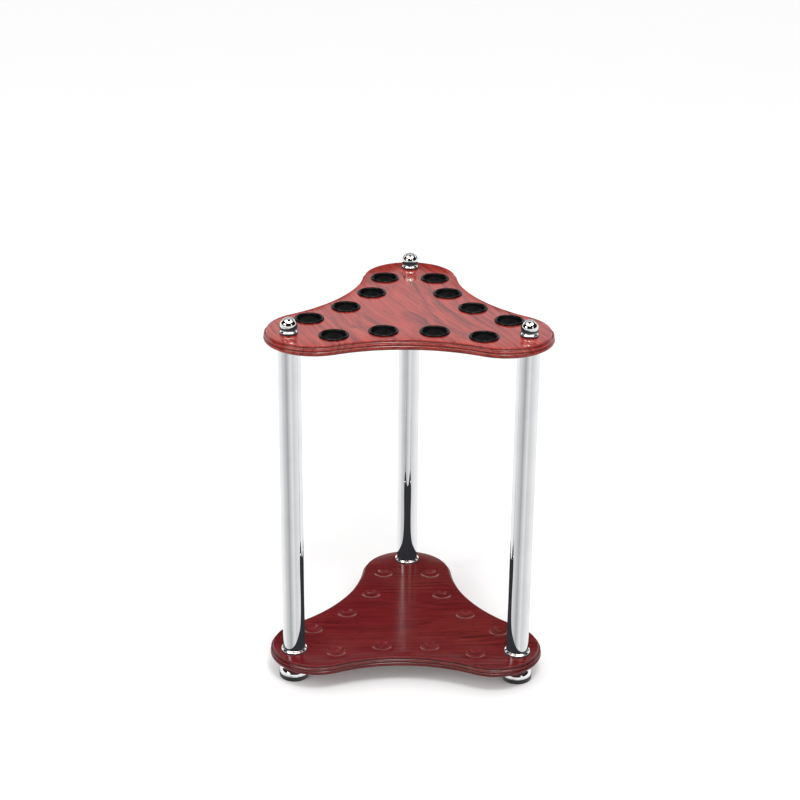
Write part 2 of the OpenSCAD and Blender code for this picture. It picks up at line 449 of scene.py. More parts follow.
def outline(board_low, board_high, waist_turn, lobe_steps=96, waist_steps=44):
    """A board's outline, as an arc's centre, its signed radius and the outward direction for each
    point: point = centre + (radius - inset) x direction. Lobes are arcs about centres at a distance
    c from the rack's axis and hollow sides are arcs about centres outside it, with negative radius.
    The half width is c cos 30 + R and the reach to the back is c + R, which gives c and R."""
    half_width = (board_high.x - board_low.x) / 2
    reach = board_high.y - RACK_AXIS[1]
    turn = math.degrees(waist_turn)
    c = (reach - half_width) / (1 - math.cos(math.radians(30)))
    lobe_radius = reach - c
    waist_distance = c / 2 + c * math.cos(math.radians(30)) / math.tan(waist_turn)
    waist_radius = c * math.cos(math.radians(30)) / math.sin(waist_turn) - lobe_radius
    half_lobe = HALF_LOBE_GAP + turn
    lobe = LOBE_ANGLES[:, None] + np.linspace(-half_lobe, half_lobe, lobe_steps, endpoint=False)
    waist = LOBE_ANGLES[:, None] + HALF_LOBE_GAP + np.linspace(turn, -turn, waist_steps, endpoint=False)
    facing = np.radians(np.hstack((lobe, waist))).ravel()
    steps = (lobe_steps, waist_steps)
    towards = np.repeat(np.column_stack((LOBE_ANGLES, LOBE_ANGLES + HALF_LOBE_GAP)), steps, axis=1)
    distance = np.tile(np.repeat((c, waist_distance), steps), len(LOBE_ANGLES))
    radius = np.tile(np.repeat((lobe_radius, -waist_radius), steps), len(LOBE_ANGLES))
    towards = np.radians(towards.ravel())
    centre = RACK_AXIS + distance[:, None] * np.column_stack((np.cos(towards), np.sin(towards)))
    return centre, radius, np.column_stack((np.cos(facing), np.sin(facing)))


def moulding(boards, thickness):
    """The edge's profile as inset and depth: arris, upright fillet, cove, upright band, bead, and a
    bevel to the underside. Arcs have mirrored first coordinates, because the inset runs inwards."""
    cove_step = 0.4 * MM
    cove_middle = boards.edge_inset - boards.cove - cove_step
    band_inset = 1.1 * MM
    band_start = boards.fillet_depth + boards.cove + 0.6 * MM
    notch_inset, notch_depth = 0.8 * MM, 0.7 * MM
    bevel_inset, bevel_depth = 0.8 * MM, 0.6 * MM
    shape = np.vstack(
        (
            arc((boards.edge_inset + boards.arris, boards.arris), boards.arris, 270, 360, 5, -1),
            arc((cove_middle, boards.fillet_depth), boards.cove, 180, 90, 10, -1),
            ((band_inset, band_start), (band_inset, boards.band_depth)),
            ((band_inset + notch_inset, boards.band_depth + notch_depth),),
            arc((boards.bead, boards.bead_depth), boards.bead, -60, 70, 14, -1),
            ((boards.bead, thickness - bevel_depth), (boards.bead + bevel_inset, thickness)),
        )
    )
    return soften(shape, boards.softening)


def moulded_edge(boards, low, high):
    """The moulding carried round a board: each outline point moved in by the profile's inset and down
    by its depth. Returns the grid, and each point's depth as a share of the thickness."""
    centre, radius, facing = outline(low, high, boards.waist_turn)
    profile = moulding(boards, high.z - low.z)
    out = radius[:, None] - profile[None, :, 0]
    flat = centre[:, None, :] + out[:, :, None] * facing[:, None, :]
    height = np.broadcast_to(high.z - profile[None, :, 1], out.shape)
    share = np.broadcast_to(profile[None, :, 1] / (high.z - low.z), out.shape)
    return np.dstack((flat, height)), share


def dished_seat(place, face, boards):
    """A ball-shaped dish: a sphere of radius (rr + dd) / 2d, and round its rim a fillet whose centre
    lies at the sphere's radius plus its own from the sphere's centre."""
    depth, lip = boards.seat_depth, boards.seat_lip
    ball = (boards.seat_radius**2 + depth**2) / (2 * depth)
    rise = ball - depth + lip
    lip_radius = math.sqrt((ball + lip) ** 2 - rise**2)
    lean = math.degrees(math.atan2(rise, -lip_radius))
    rim = arc((lip_radius, face - lip), lip, 90, lean, 6)
    start = math.degrees(math.asin(rim[-1, 0] / ball))
    bowl = arc((0, face - depth + ball), ball, start - 90, -90, 16)[1:]
    bowl[-1, 0] = 0
    return lathe(place, np.vstack((rim, bowl)), 72)


def drilled_hole(place, low, high, radius, steps=48):
    """A straight hole through a board, with a small chamfer at both faces."""
    profile = np.array(
        (
            (radius + HOLE_CHAMFER, high),
            (radius, high - HOLE_CHAMFER),
            (radius, low + HOLE_CHAMFER),
            (radius + HOLE_CHAMFER, low),
        )
    )
    return lathe(place, profile, steps)


def quads(rows, columns, loop_rows, loop_columns):
    """Four-sided faces of a grid, which can close on itself in either direction."""
    index = np.arange(rows * columns).reshape(rows, columns)
    if loop_rows:
        index = np.vstack((index, index[:1]))
    if loop_columns:
        index = np.hstack((index, index[:, :1]))
    corners = (index[:-1, :-1], index[:-1, 1:], index[1:, 1:], index[1:, :-1])
    return np.stack(corners, axis=2).reshape(-1, 4)


def piece(name, patches, material, body, nodes, faces_at=(), marks=None):
    """One mesh of several grids, each given as (grid, loop_rows, loop_columns). Doubles are merged,
    the open outlines at each height in faces_at are filled as a flat face with its holes, and all
    faces are turned outwards. marks gives the first grid's "edge" attribute, 0 elsewhere."""
    points = np.vstack([grid.reshape(-1, 3) for grid, _, _ in patches])
    faces = []
    first = 0
    for grid, loop_rows, loop_columns in patches:
        faces.append(quads(grid.shape[0], grid.shape[1], loop_rows, loop_columns) + first)
        first += grid.shape[0] * grid.shape[1]
    mesh = bpy.data.meshes.new(name)
    mesh.from_pydata(points, (), np.vstack(faces))
    if marks is not None:
        values = np.zeros(len(points), np.float32)
        values[: marks.size] = marks.ravel()
        mesh.attributes.new("edge", "FLOAT", "POINT").data.foreach_set("value", values)
    surface = bmesh.new()
    surface.from_mesh(mesh)
    bmesh.ops.remove_doubles(surface, verts=surface.verts, dist=SAME_PLACE)
    for height in faces_at:
        rim = [
            edge
            for edge in surface.edges
            if edge.is_boundary and all(abs(v.co.z - height) < SAME_PLACE for v in edge.verts)
        ]
        if not rim:
            raise RuntimeError(f"{name} has no open outline at height {height:.4f} m")
        bmesh.ops.triangle_fill(surface, use_beauty=True, edges=rim)
    bmesh.ops.recalc_face_normals(surface, faces=surface.faces)
    if any(not e.is_manifold for e in surface.edges):
        raise RuntimeError(f"{name} isn't a closed surface")
    surface.to_mesh(mesh)
    surface.free()
    normals = np.empty(len(mesh.polygons) * 3, np.float32)
    mesh.polygons.foreach_get("normal", normals)
    level = np.abs(normals.reshape(-1, 3)[:, 2]) > LEVEL_NORMAL
    mesh.polygons.foreach_set("use_smooth", ~level)
    mesh.set_sharp_from_angle(angle=CREASE)
    mesh.materials.append(material)
    made = bpy.data.objects.new(name, mesh)
    bpy.context.scene.collection.objects.link(made)
    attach(made, body)
    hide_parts(*nodes)


def board_piece(name, node, low, high, boards, wood, cue_grids, post_hole):
    """A board: the moulding round it, what it has at each cue, a hole at each post, and the two flat
    faces between them."""
    edge, depth = moulded_edge(boards, low, high)
    patches = [(edge, True, False)]
    patches += [(grid, False, True) for grid in cue_grids]
    for place in POST_PLACES.values():
        patches.append((drilled_hole(place, low.z, high.z, post_hole), False, True))
    piece(name, patches, wood, "rack", [node], (low.z, high.z), depth)


def turned_piece(name, place, profile, is_ring, material, body, node, steps=TURN_STEPS):
    """One profile turned round an upright axis, which stands for one node. A ring's profile closes on
    itself, and any other starts and ends on the axis."""
    piece(name, [(lathe(place, profile, steps), is_ring, True)], material, body, [node])


# Finishes ------------------------------------------------------------------------------------


def blank_material(name):
    """A new material with an empty node tree, given as the material, its nodes and its links."""
    material = bpy.data.materials.new(name)
    material.use_nodes = True
    material.node_tree.nodes.clear()
    return material, material.node_tree.nodes, material.node_tree.links


def lacquered_wood(name, stain, streak, patch, turn, pith, ring_scale, sway, contrast, coat, blur):
    """Stained open-grained wood under clear lacquer, cut from a log whose rings are cylinders round a
    line along the grain. turn is the grain's direction, pith the place of the log's middle, ring_scale
    the closeness of its rings, sway how far they wander, and contrast the depth of the dark lines.
    coat is the lacquer's weight and blur its roughness."""
    material, nodes, links = blank_material(name)

    log_frame = nodes.new("NodeFrame")
    log_frame.label = "Log: grain direction and wander"
    ring_frame = nodes.new("NodeFrame")
    ring_frame.label = "Annual rings"
    fibre_frame = nodes.new("NodeFrame")
    fibre_frame.label = "Fibres and pores"
    colour_frame = nodes.new("NodeFrame")
    colour_frame.label = "Stain"
    edge_stain_and_light_frame = nodes.new("NodeFrame")
    edge_stain_and_light_frame.label = "Stain, painted shade and painted highlights in the moulding"
    relief_frame = nodes.new("NodeFrame")
    relief_frame.label = "Relief under and in the lacquer"

    place = nodes.new("ShaderNodeTexCoord")
    place.label = "Place in the board"
    along = nodes.new("ShaderNodeMapping")
    along.label = "Turn X along the grain"
    along.inputs["Rotation"].default_value = (0, 0, -turn)
    wander_map = nodes.new("ShaderNodeMapping")
    wander_map.label = "Stretch the wander along the grain"
    wander_map.inputs["Scale"].default_value = (0.32, 1.0, 1.0)
    wander = nodes.new("ShaderNodeTexNoise")
    wander.label = "Wander of the grain"
    wander.inputs["Scale"].default_value = 9.0
    wander.inputs["Detail"].default_value = 3.0
    wander.inputs["Roughness"].default_value = 0.45
    centred = nodes.new("ShaderNodeVectorMath")
    centred.label = "Wander to both sides"
    centred.operation = "SUBTRACT"
    centred.inputs[1].default_value = (0.5, 0.5, 0.5)
    swayed = nodes.new("ShaderNodeVectorMath")
    swayed.label = "Move the log by the wander"
    swayed.operation = "MULTIPLY_ADD"
    swayed.inputs[1].default_value = (0, sway, sway)
    log = nodes.new("ShaderNodeMapping")
    log.label = "Put the pith on the X line"
    log.inputs["Location"].default_value = pith

    rings = nodes.new("ShaderNodeTexWave")
    rings.label = "Rings round the pith"
    rings.wave_type = "RINGS"
    rings.rings_direction = "X"
    rings.wave_profile = "SAW"
    rings.inputs["Scale"].default_value = ring_scale
    rings.inputs["Distortion"].default_value = 1.6
    rings.inputs["Detail"].default_value = 2.0
    rings.inputs["Detail Scale"].default_value = 0.6
    rings.inputs["Detail Roughness"].default_value = 0.55
    late = nodes.new("ShaderNodeValToRGB")
    late.label = "Dark late wood at the end of each ring"
    late.color_ramp.elements[0].position = 0.30
    late.color_ramp.elements[0].color = (0, 0, 0, 1)
    late.color_ramp.elements[1].position = 0.93
    late.color_ramp.elements[1].color = (1, 1, 1, 1)
    early = late.color_ramp.elements.new(1.0)
    early.color = (0, 0, 0, 1)
    strength_noise = nodes.new("ShaderNodeTexNoise")
    strength_noise.label = "Some rings darker than others"
    strength_noise.inputs["Scale"].default_value = 14.0
    strength_noise.inputs["Detail"].default_value = 2.0
    strength = nodes.new("ShaderNodeMapRange")
    strength.label = "Darkness of a ring"
    strength.inputs["From Min"].default_value = 0.35
    strength.inputs["From Max"].default_value = 0.68
    strength.inputs["To Min"].default_value = 0.12
    strength.inputs["To Max"].default_value = 1.0
    ring_dark = nodes.new("ShaderNodeMath")
    ring_dark.label = "Uneven late wood"
    ring_dark.operation = "MULTIPLY"

    fibre_map = nodes.new("ShaderNodeMapping")
    fibre_map.label = "Draw fibres out along the grain"
    fibre_map.inputs["Scale"].default_value = (5.0, 250.0, 250.0)
    fibres = nodes.new("ShaderNodeTexNoise")
    fibres.label = "Fibres"
    fibres.inputs["Scale"].default_value = 1.0
    fibres.inputs["Detail"].default_value = 6.0
    fibres.inputs["Roughness"].default_value = 0.62
    fibre_dark = nodes.new("ShaderNodeMapRange")
    fibre_dark.label = "Darkness of the fibres"
    fibre_dark.inputs["From Min"].default_value = 0.40
    fibre_dark.inputs["From Max"].default_value = 0.74
    fibre_dark.inputs["To Min"].default_value = 0.0
    fibre_dark.inputs["To Max"].default_value = 0.85
    pore_map = nodes.new("ShaderNodeMapping")
    pore_map.label = "Draw pores into short dashes"
    pore_map.inputs["Scale"].default_value = (60.0, 900.0, 900.0)
    pores = nodes.new("ShaderNodeTexNoise")
    pores.label = "Open pores"
    pores.inputs["Scale"].default_value = 1.0
    pores.inputs["Detail"].default_value = 1.0
    pore_dark = nodes.new("ShaderNodeMapRange")
    pore_dark.label = "Only the deepest pores"
    pore_dark.inputs["From Min"].default_value = 0.60
    pore_dark.inputs["From Max"].default_value = 0.72
    pore_band = nodes.new("ShaderNodeMath")
    pore_band.label = "Pores gather beside the late wood"
    pore_band.operation = "MULTIPLY_ADD"
    pore_band.inputs[1].default_value = 0.7
    pore_band.inputs[2].default_value = 0.25
    pore_share = nodes.new("ShaderNodeMath")
    pore_share.label = "Share of each pore"
    pore_share.operation = "MULTIPLY"
    grain_sum = nodes.new("ShaderNodeMath")
    grain_sum.label = "Rings and fibres"
    grain_sum.operation = "MULTIPLY_ADD"
    grain_sum.inputs[1].default_value = contrast
    grain_all = nodes.new("ShaderNodeMath")
    grain_all.label = "Rings, fibres and pores"
    grain_all.operation = "ADD"
    grain_all.use_clamp = True

    cloud = nodes.new("ShaderNodeTexNoise")
    cloud.label = "Clouds in the stain"
    cloud.inputs["Scale"].default_value = 11.0
    cloud.inputs["Detail"].default_value = 4.0
    cloud_share = nodes.new("ShaderNodeMapRange")
    cloud_share.label = "Where the warm patches show"
    cloud_share.inputs["From Min"].default_value = 0.48
    cloud_share.inputs["From Max"].default_value = 0.80
    cloud_share.inputs["To Max"].default_value = 0.65
    ground = nodes.new("ShaderNodeMix")
    ground.label = "Stain and warm patches"
    ground.data_type = "RGBA"
    ground.inputs["A"].default_value = (*stain, 1)
    ground.inputs["B"].default_value = (*patch, 1)
    grained = nodes.new("ShaderNodeMix")
    grained.label = "Dark grain over the stain"
    grained.data_type = "RGBA"
    grained.inputs["B"].default_value = (*streak, 1)

    # The moulding's grey ramp lies over the stain: darker in the cove, groove and lower bead, lighter at
    # the arris, band and bead top. This is partly stain held in the grooves, and partly painted shade in
    # the grooves and painted highlight lines on the corners.
    edge = nodes.new("ShaderNodeAttribute")
    edge.label = "Depth down the moulding"
    edge.attribute_name = "edge"
    held = nodes.new("ShaderNodeValToRGB")
    held.label = "Painted shade in the grooves, painted highlights on the corners"
    shades = ((0.0, 0.5), (0.035, 0.70), (0.09, 0.24), (0.27, 0.16), (0.33, 0.50), (0.40, 0.26))
    shades += ((0.49, 0.12), (0.56, 0.20), (0.66, 0.34), (0.78, 0.24), (1.0, 0.14))
    ramp = held.color_ramp
    ramp.elements[0].position, ramp.elements[0].color = shades[0][0], (*[shades[0][1]] * 3, 1)
    ramp.elements[1].position, ramp.elements[1].color = shades[-1][0], (*[shades[-1][1]] * 3, 1)
    for position, shade in shades[1:-1]:
        step = ramp.elements.new(position)
        step.color = (shade, shade, shade, 1)
    # Overlay of the ramp on the stain: painted shade and painted highlights along the moulding.
    edge_stain_and_painted_light = nodes.new("ShaderNodeMix")
    edge_stain_and_painted_light.label = "Stain with painted shade and highlights"
    edge_stain_and_painted_light.data_type = "RGBA"
    edge_stain_and_painted_light.blend_type = "OVERLAY"
    edge_stain_and_painted_light.inputs["Factor"].default_value = 0.9

    relief = nodes.new("ShaderNodeBump")
    relief.label = "Grain telegraphs through"
    relief.inputs["Strength"].default_value = 0.25
    relief.inputs["Distance"].default_value = 0.00012
    relief.invert = True
    peel = nodes.new("ShaderNodeTexNoise")
    peel.label = "Slow waves of sprayed lacquer"
    peel.inputs["Scale"].default_value = 130.0
    peel.inputs["Detail"].default_value = 1.0
    film = nodes.new("ShaderNodeBump")
    film.label = "Lacquer surface"
    film.inputs["Strength"].default_value = 0.10
    film.inputs["Distance"].default_value = 0.00010
    haze = nodes.new("ShaderNodeMapRange")
    haze.label = "Roughness of the wood under the lacquer"
    haze.inputs["To Min"].default_value = 0.34
    haze.inputs["To Max"].default_value = 0.58
    wood = nodes.new("ShaderNodeBsdfPrincipled")
    wood.label = "Lacquered wood"
    wood.inputs["Specular IOR Level"].default_value = 0.0
    wood.inputs["Coat Weight"].default_value = coat
    wood.inputs["Coat Roughness"].default_value = blur
    wood.inputs["Coat IOR"].default_value = 1.5
    out = nodes.new("ShaderNodeOutputMaterial")
    out.label = "Board surface"

    for node, parent, x, y in (
        (place, log_frame, -2300, 0),
        (along, log_frame, -2120, 0),
        (wander_map, log_frame, -1940, -220),
        (wander, log_frame, -1760, -220),
        (centred, log_frame, -1580, -220),
        (swayed, log_frame, -1400, 0),
        (log, log_frame, -1220, 0),
        (rings, ring_frame, -1000, 120),
        (late, ring_frame, -820, 120),
        (strength_noise, ring_frame, -1000, 420),
        (strength, ring_frame, -820, 420),
        (ring_dark, ring_frame, -540, 240),
        (fibre_map, fibre_frame, -1000, -240),
        (fibres, fibre_frame, -820, -240),
        (fibre_dark, fibre_frame, -640, -240),
        (pore_map, fibre_frame, -1000, -560),
        (pores, fibre_frame, -820, -560),
        (pore_dark, fibre_frame, -640, -560),
        (pore_band, fibre_frame, -640, -820),
        (pore_share, fibre_frame, -460, -620),
        (grain_sum, fibre_frame, -360, -160),
        (grain_all, fibre_frame, -180, -300),
        (cloud, colour_frame, -540, 640),
        (cloud_share, colour_frame, -360, 640),
        (ground, colour_frame, -180, 560),
        (grained, colour_frame, 20, 420),
        (edge, edge_stain_and_light_frame, -180, 920),
        (held, edge_stain_and_light_frame, 20, 920),
        (edge_stain_and_painted_light, edge_stain_and_light_frame, 320, 560),
        (peel, relief_frame, 20, -560),
        (film, relief_frame, 220, -560),
        (relief, relief_frame, 220, -300),
        (haze, relief_frame, 220, 0),
        (wood, None, 540, 200),
        (out, None, 840, 200),
    ):
        node.parent = parent
        node.location = (x, y)

    links.new(place.outputs["Object"], along.inputs["Vector"])
    links.new(along.outputs["Vector"], wander_map.inputs["Vector"])
    links.new(wander_map.outputs["Vector"], wander.inputs["Vector"])
    links.new(wander.outputs["Color"], centred.inputs[0])
    links.new(centred.outputs["Vector"], swayed.inputs[0])
    links.new(along.outputs["Vector"], swayed.inputs[2])
    links.new(swayed.outputs["Vector"], log.inputs["Vector"])
    links.new(log.outputs["Vector"], rings.inputs["Vector"])
    links.new(rings.outputs["Fac"], late.inputs["Fac"])
    links.new(wander_map.outputs["Vector"], strength_noise.inputs["Vector"])
    links.new(strength_noise.outputs["Fac"], strength.inputs["Value"])
    links.new(late.outputs["Color"], ring_dark.inputs[0])
    links.new(strength.outputs["Result"], ring_dark.inputs[1])
    links.new(swayed.outputs["Vector"], fibre_map.inputs["Vector"])
    links.new(fibre_map.outputs["Vector"], fibres.inputs["Vector"])
    links.new(fibres.outputs["Fac"], fibre_dark.inputs["Value"])
    links.new(swayed.outputs["Vector"], pore_map.inputs["Vector"])
    links.new(pore_map.outputs["Vector"], pores.inputs["Vector"])
    links.new(pores.outputs["Fac"], pore_dark.inputs["Value"])
    links.new(ring_dark.outputs["Value"], pore_band.inputs[0])
    links.new(pore_dark.outputs["Result"], pore_share.inputs[0])
    links.new(pore_band.outputs["Value"], pore_share.inputs[1])
    links.new(ring_dark.outputs["Value"], grain_sum.inputs[0])
    links.new(fibre_dark.outputs["Result"], grain_sum.inputs[2])
    links.new(grain_sum.outputs["Value"], grain_all.inputs[0])
    links.new(pore_share.outputs["Value"], grain_all.inputs[1])
    links.new(along.outputs["Vector"], cloud.inputs["Vector"])
    links.new(cloud.outputs["Fac"], cloud_share.inputs["Value"])
    links.new(cloud_share.outputs["Result"], ground.inputs["Factor"])
    links.new(ground.outputs["Result"], grained.inputs["A"])
    links.new(grain_all.outputs["Value"], grained.inputs["Factor"])
    links.new(edge.outputs["Fac"], held.inputs["Fac"])
    links.new(grained.outputs["Result"], edge_stain_and_painted_light.inputs["A"])
    links.new(held.outputs["Color"], edge_stain_and_painted_light.inputs["B"])
    links.new(edge_stain_and_painted_light.outputs["Result"], wood.inputs["Base Color"])
    links.new(grain_all.outputs["Value"], haze.inputs["Value"])
    links.new(haze.outputs["Result"], wood.inputs["Roughness"])
    links.new(grain_all.outputs["Value"], relief.inputs["Height"])
    links.new(relief.outputs["Normal"], wood.inputs["Normal"])
    links.new(along.outputs["Vector"], peel.inputs["Vector"])
    links.new(peel.outputs["Fac"], film.inputs["Height"])
    links.new(film.outputs["Normal"], wood.inputs["Coat Normal"])
    links.new(wood.outputs["BSDF"], out.inputs["Surface"])
    return material


def plated_metal(name, colour, dull_colour, smooth, rough, cloud_size, mark_depth):
    """Plated metal: clouds of handling haze between two roughnesses, with a duller colour in the haze
    and faint polishing marks drawn out round the upright pieces."""
    material, nodes, links = blank_material(name)

    haze_frame = nodes.new("NodeFrame")
    haze_frame.label = "Handling haze"
    mark_frame = nodes.new("NodeFrame")
    mark_frame.label = "Polishing marks"

    place = nodes.new("ShaderNodeTexCoord")
    place.label = "Place on the metal"
    haze = nodes.new("ShaderNodeTexNoise")
    haze.label = "Clouds of haze"
    haze.inputs["Scale"].default_value = 1 / cloud_size
    haze.inputs["Detail"].default_value = 5.0
    haze.inputs["Roughness"].default_value = 0.6
    share = nodes.new("ShaderNodeMapRange")
    share.label = "Where the haze lies"
    share.inputs["From Min"].default_value = 0.42
    share.inputs["From Max"].default_value = 0.75
    roughness = nodes.new("ShaderNodeMapRange")
    roughness.label = "Roughness of the plating"
    roughness.inputs["To Min"].default_value = smooth
    roughness.inputs["To Max"].default_value = rough
    tint = nodes.new("ShaderNodeMix")
    tint.label = "Bright and hazed plating"
    tint.data_type = "RGBA"
    tint.inputs["A"].default_value = (*colour, 1)
    tint.inputs["B"].default_value = (*dull_colour, 1)
    stretch = nodes.new("ShaderNodeMapping")
    stretch.label = "Draw the marks round"
    stretch.inputs["Scale"].default_value = (60.0, 60.0, 900.0)
    marks = nodes.new("ShaderNodeTexNoise")
    marks.label = "Polishing marks"
    marks.inputs["Scale"].default_value = 1.0
    marks.inputs["Detail"].default_value = 2.0
    relief = nodes.new("ShaderNodeBump")
    relief.label = "Depth of the marks"
    relief.inputs["Strength"].default_value = 0.2
    relief.inputs["Distance"].default_value = mark_depth
    metal = nodes.new("ShaderNodeBsdfPrincipled")
    metal.label = "Plated metal"
    metal.inputs["Metallic"].default_value = 1.0
    out = nodes.new("ShaderNodeOutputMaterial")
    out.label = "Metal surface"

    for node, parent, x, y in (
        (place, None, -900, 0),
        (haze, haze_frame, -680, 200),
        (share, haze_frame, -480, 200),
        (roughness, haze_frame, -260, 60),
        (tint, haze_frame, -260, 300),
        (stretch, mark_frame, -680, -260),
        (marks, mark_frame, -480, -260),
        (relief, mark_frame, -260, -260),
        (metal, None, 40, 100),
        (out, None, 340, 100),
    ):
        node.parent = parent
        node.location = (x, y)

    links.new(place.outputs["Object"], haze.inputs["Vector"])
    links.new(haze.outputs["Fac"], share.inputs["Value"])
    links.new(share.outputs["Result"], roughness.inputs["Value"])
    links.new(share.outputs["Result"], tint.inputs["Factor"])
    links.new(place.outputs["Object"], stretch.inputs["Vector"])
    links.new(stretch.outputs["Vector"], marks.inputs["Vector"])
    links.new(marks.outputs["Fac"], relief.inputs["Height"])
    links.new(tint.outputs["Result"], metal.inputs["Base Color"])
    links.new(roughness.outputs["Result"], metal.inputs["Roughness"])
    links.new(relief.outputs["Normal"], metal.inputs["Normal"])
    links.new(metal.outputs["BSDF"], out.inputs["Surface"])
    return material


def moulded_black(name, colour, worn_colour, smooth, rough, shine, pebble_size, pebble_depth):
    """Black moulded plastic or rubber: a fine pebbled skin, and scuffed clouds that are greyer and
    rougher than the rest. shine is the specular level."""
    material, nodes, links = blank_material(name)

    scuff_frame = nodes.new("NodeFrame")
    scuff_frame.label = "Scuffs"
    skin_frame = nodes.new("NodeFrame")
    skin_frame.label = "Moulded skin"

    place = nodes.new("ShaderNodeTexCoord")
    place.label = "Place on the moulding"
    scuffs = nodes.new("ShaderNodeTexNoise")
    scuffs.label = "Scuffed clouds"
    scuffs.inputs["Scale"].default_value = 60.0
    scuffs.inputs["Detail"].default_value = 6.0
    scuffs.inputs["Roughness"].default_value = 0.7
    share = nodes.new("ShaderNodeMapRange")
    share.label = "Where the scuffs lie"
    share.inputs["From Min"].default_value = 0.48
    share.inputs["From Max"].default_value = 0.78
    roughness = nodes.new("ShaderNodeMapRange")
    roughness.label = "Roughness of the skin"
    roughness.inputs["To Min"].default_value = smooth
    roughness.inputs["To Max"].default_value = rough
    tint = nodes.new("ShaderNodeMix")
    tint.label = "Black and scuffed black"
    tint.data_type = "RGBA"
    tint.inputs["A"].default_value = (*colour, 1)
    tint.inputs["B"].default_value = (*worn_colour, 1)
    pebbles = nodes.new("ShaderNodeTexVoronoi")
    pebbles.label = "Pebbled skin"
    pebbles.inputs["Scale"].default_value = 1 / pebble_size
    relief = nodes.new("ShaderNodeBump")
    relief.label = "Depth of the pebbles"
    relief.inputs["Strength"].default_value = 0.3
    relief.inputs["Distance"].default_value = pebble_depth
    black = nodes.new("ShaderNodeBsdfPrincipled")
    black.label = "Moulded black"
    black.inputs["Specular IOR Level"].default_value = shine
    out = nodes.new("ShaderNodeOutputMaterial")
    out.label = "Moulded surface"

    for node, parent, x, y in (
        (place, None, -900, 0),
        (scuffs, scuff_frame, -680, 200),
        (share, scuff_frame, -480, 200),
        (roughness, scuff_frame, -260, 60),
        (tint, scuff_frame, -260, 300),
        (pebbles, skin_frame, -680, -260),
        (relief, skin_frame, -260, -260),
        (black, None, 40, 100),
        (out, None, 340, 100),
    ):
        node.parent = parent
        node.location = (x, y)

    links.new(place.outputs["Object"], scuffs.inputs["Vector"])
    links.new(scuffs.outputs["Fac"], share.inputs["Value"])
    links.new(share.outputs["Result"], roughness.inputs["Value"])
    links.new(share.outputs["Result"], tint.inputs["Factor"])
    links.new(place.outputs["Object"], pebbles.inputs["Vector"])
    links.new(pebbles.outputs["Distance"], relief.inputs["Height"])
    links.new(tint.outputs["Result"], black.inputs["Base Color"])
    links.new(roughness.outputs["Result"], black.inputs["Roughness"])
    links.new(relief.outputs["Normal"], black.inputs["Normal"])
    links.new(black.outputs["BSDF"], out.inputs["Surface"])
    return material


def floor_paper(name, colour, glow):
    """Matt studio paper with a faint fibre mottle, lit a little from below as on a light table."""
    mottle_shade = 0.985
    material, nodes, links = blank_material(name)

    paper_frame = nodes.new("NodeFrame")
    paper_frame.label = "Paper"

    place = nodes.new("ShaderNodeTexCoord")
    place.label = "Place on the floor"
    mottle = nodes.new("ShaderNodeTexNoise")
    mottle.label = "Fibre mottle"
    mottle.inputs["Scale"].default_value = 3.0
    mottle.inputs["Detail"].default_value = 3.0
    tint = nodes.new("ShaderNodeMix")
    tint.label = "Paper and its mottle"
    tint.data_type = "RGBA"
    tint.inputs["A"].default_value = (*colour, 1)
    tint.inputs["B"].default_value = (*[c * mottle_shade for c in colour], 1)
    paper = nodes.new("ShaderNodeBsdfPrincipled")
    paper.label = "Paper"
    paper.inputs["Roughness"].default_value = 0.9
    paper.inputs["Specular IOR Level"].default_value = 0.1
    paper.inputs["Emission Color"].default_value = (1, 1, 1, 1)
    paper.inputs["Emission Strength"].default_value = glow
    out = nodes.new("ShaderNodeOutputMaterial")
    out.label = "Floor surface"

    for node, parent, x, y in (
        (place, paper_frame, -640, 0),
        (mottle, paper_frame, -440, 0),
        (tint, paper_frame, -240, 0),
        (paper, None, 0, 0),
        (out, None, 300, 0),
    ):
        node.parent = parent
        node.location = (x, y)

    links.new(place.outputs["Object"], mottle.inputs["Vector"])
    links.new(mottle.outputs["Fac"], tint.inputs["Factor"])
    links.new(tint.outputs["Result"], paper.inputs["Base Color"])
    links.new(paper.outputs["BSDF"], out.inputs["Surface"])
    return material


def bright_card(name, colour, strength):
    """Lit card, which only the lacquer and the chrome show."""
    material, nodes, links = blank_material(name)
    card = nodes.new("ShaderNodeEmission")
    card.label = "Lit card"
    card.location = (0, 0)
    card.inputs["Color"].default_value = (*colour, 1)
    card.inputs["Strength"].default_value = strength
    out = nodes.new("ShaderNodeOutputMaterial")
    out.label = "Card surface"
    out.location = (220, 0)
    links.new(card.outputs["Emission"], out.inputs["Surface"])
    return material


def black_flag_cloth(name):
    """Black cloth of the flags that keep the white surroundings out of the lacquer and chrome."""
    material, nodes, links = blank_material(name)
    cloth = nodes.new("ShaderNodeBsdfDiffuse")
    cloth.label = "Black cloth"
    cloth.location = (0, 0)
    cloth.inputs["Color"].default_value = (0.01, 0.01, 0.01, 1)
    out = nodes.new("ShaderNodeOutputMaterial")
    out.label = "Flag surface"
    out.location = (220, 0)
    links.new(cloth.outputs["BSDF"], out.inputs["Surface"])
    return material


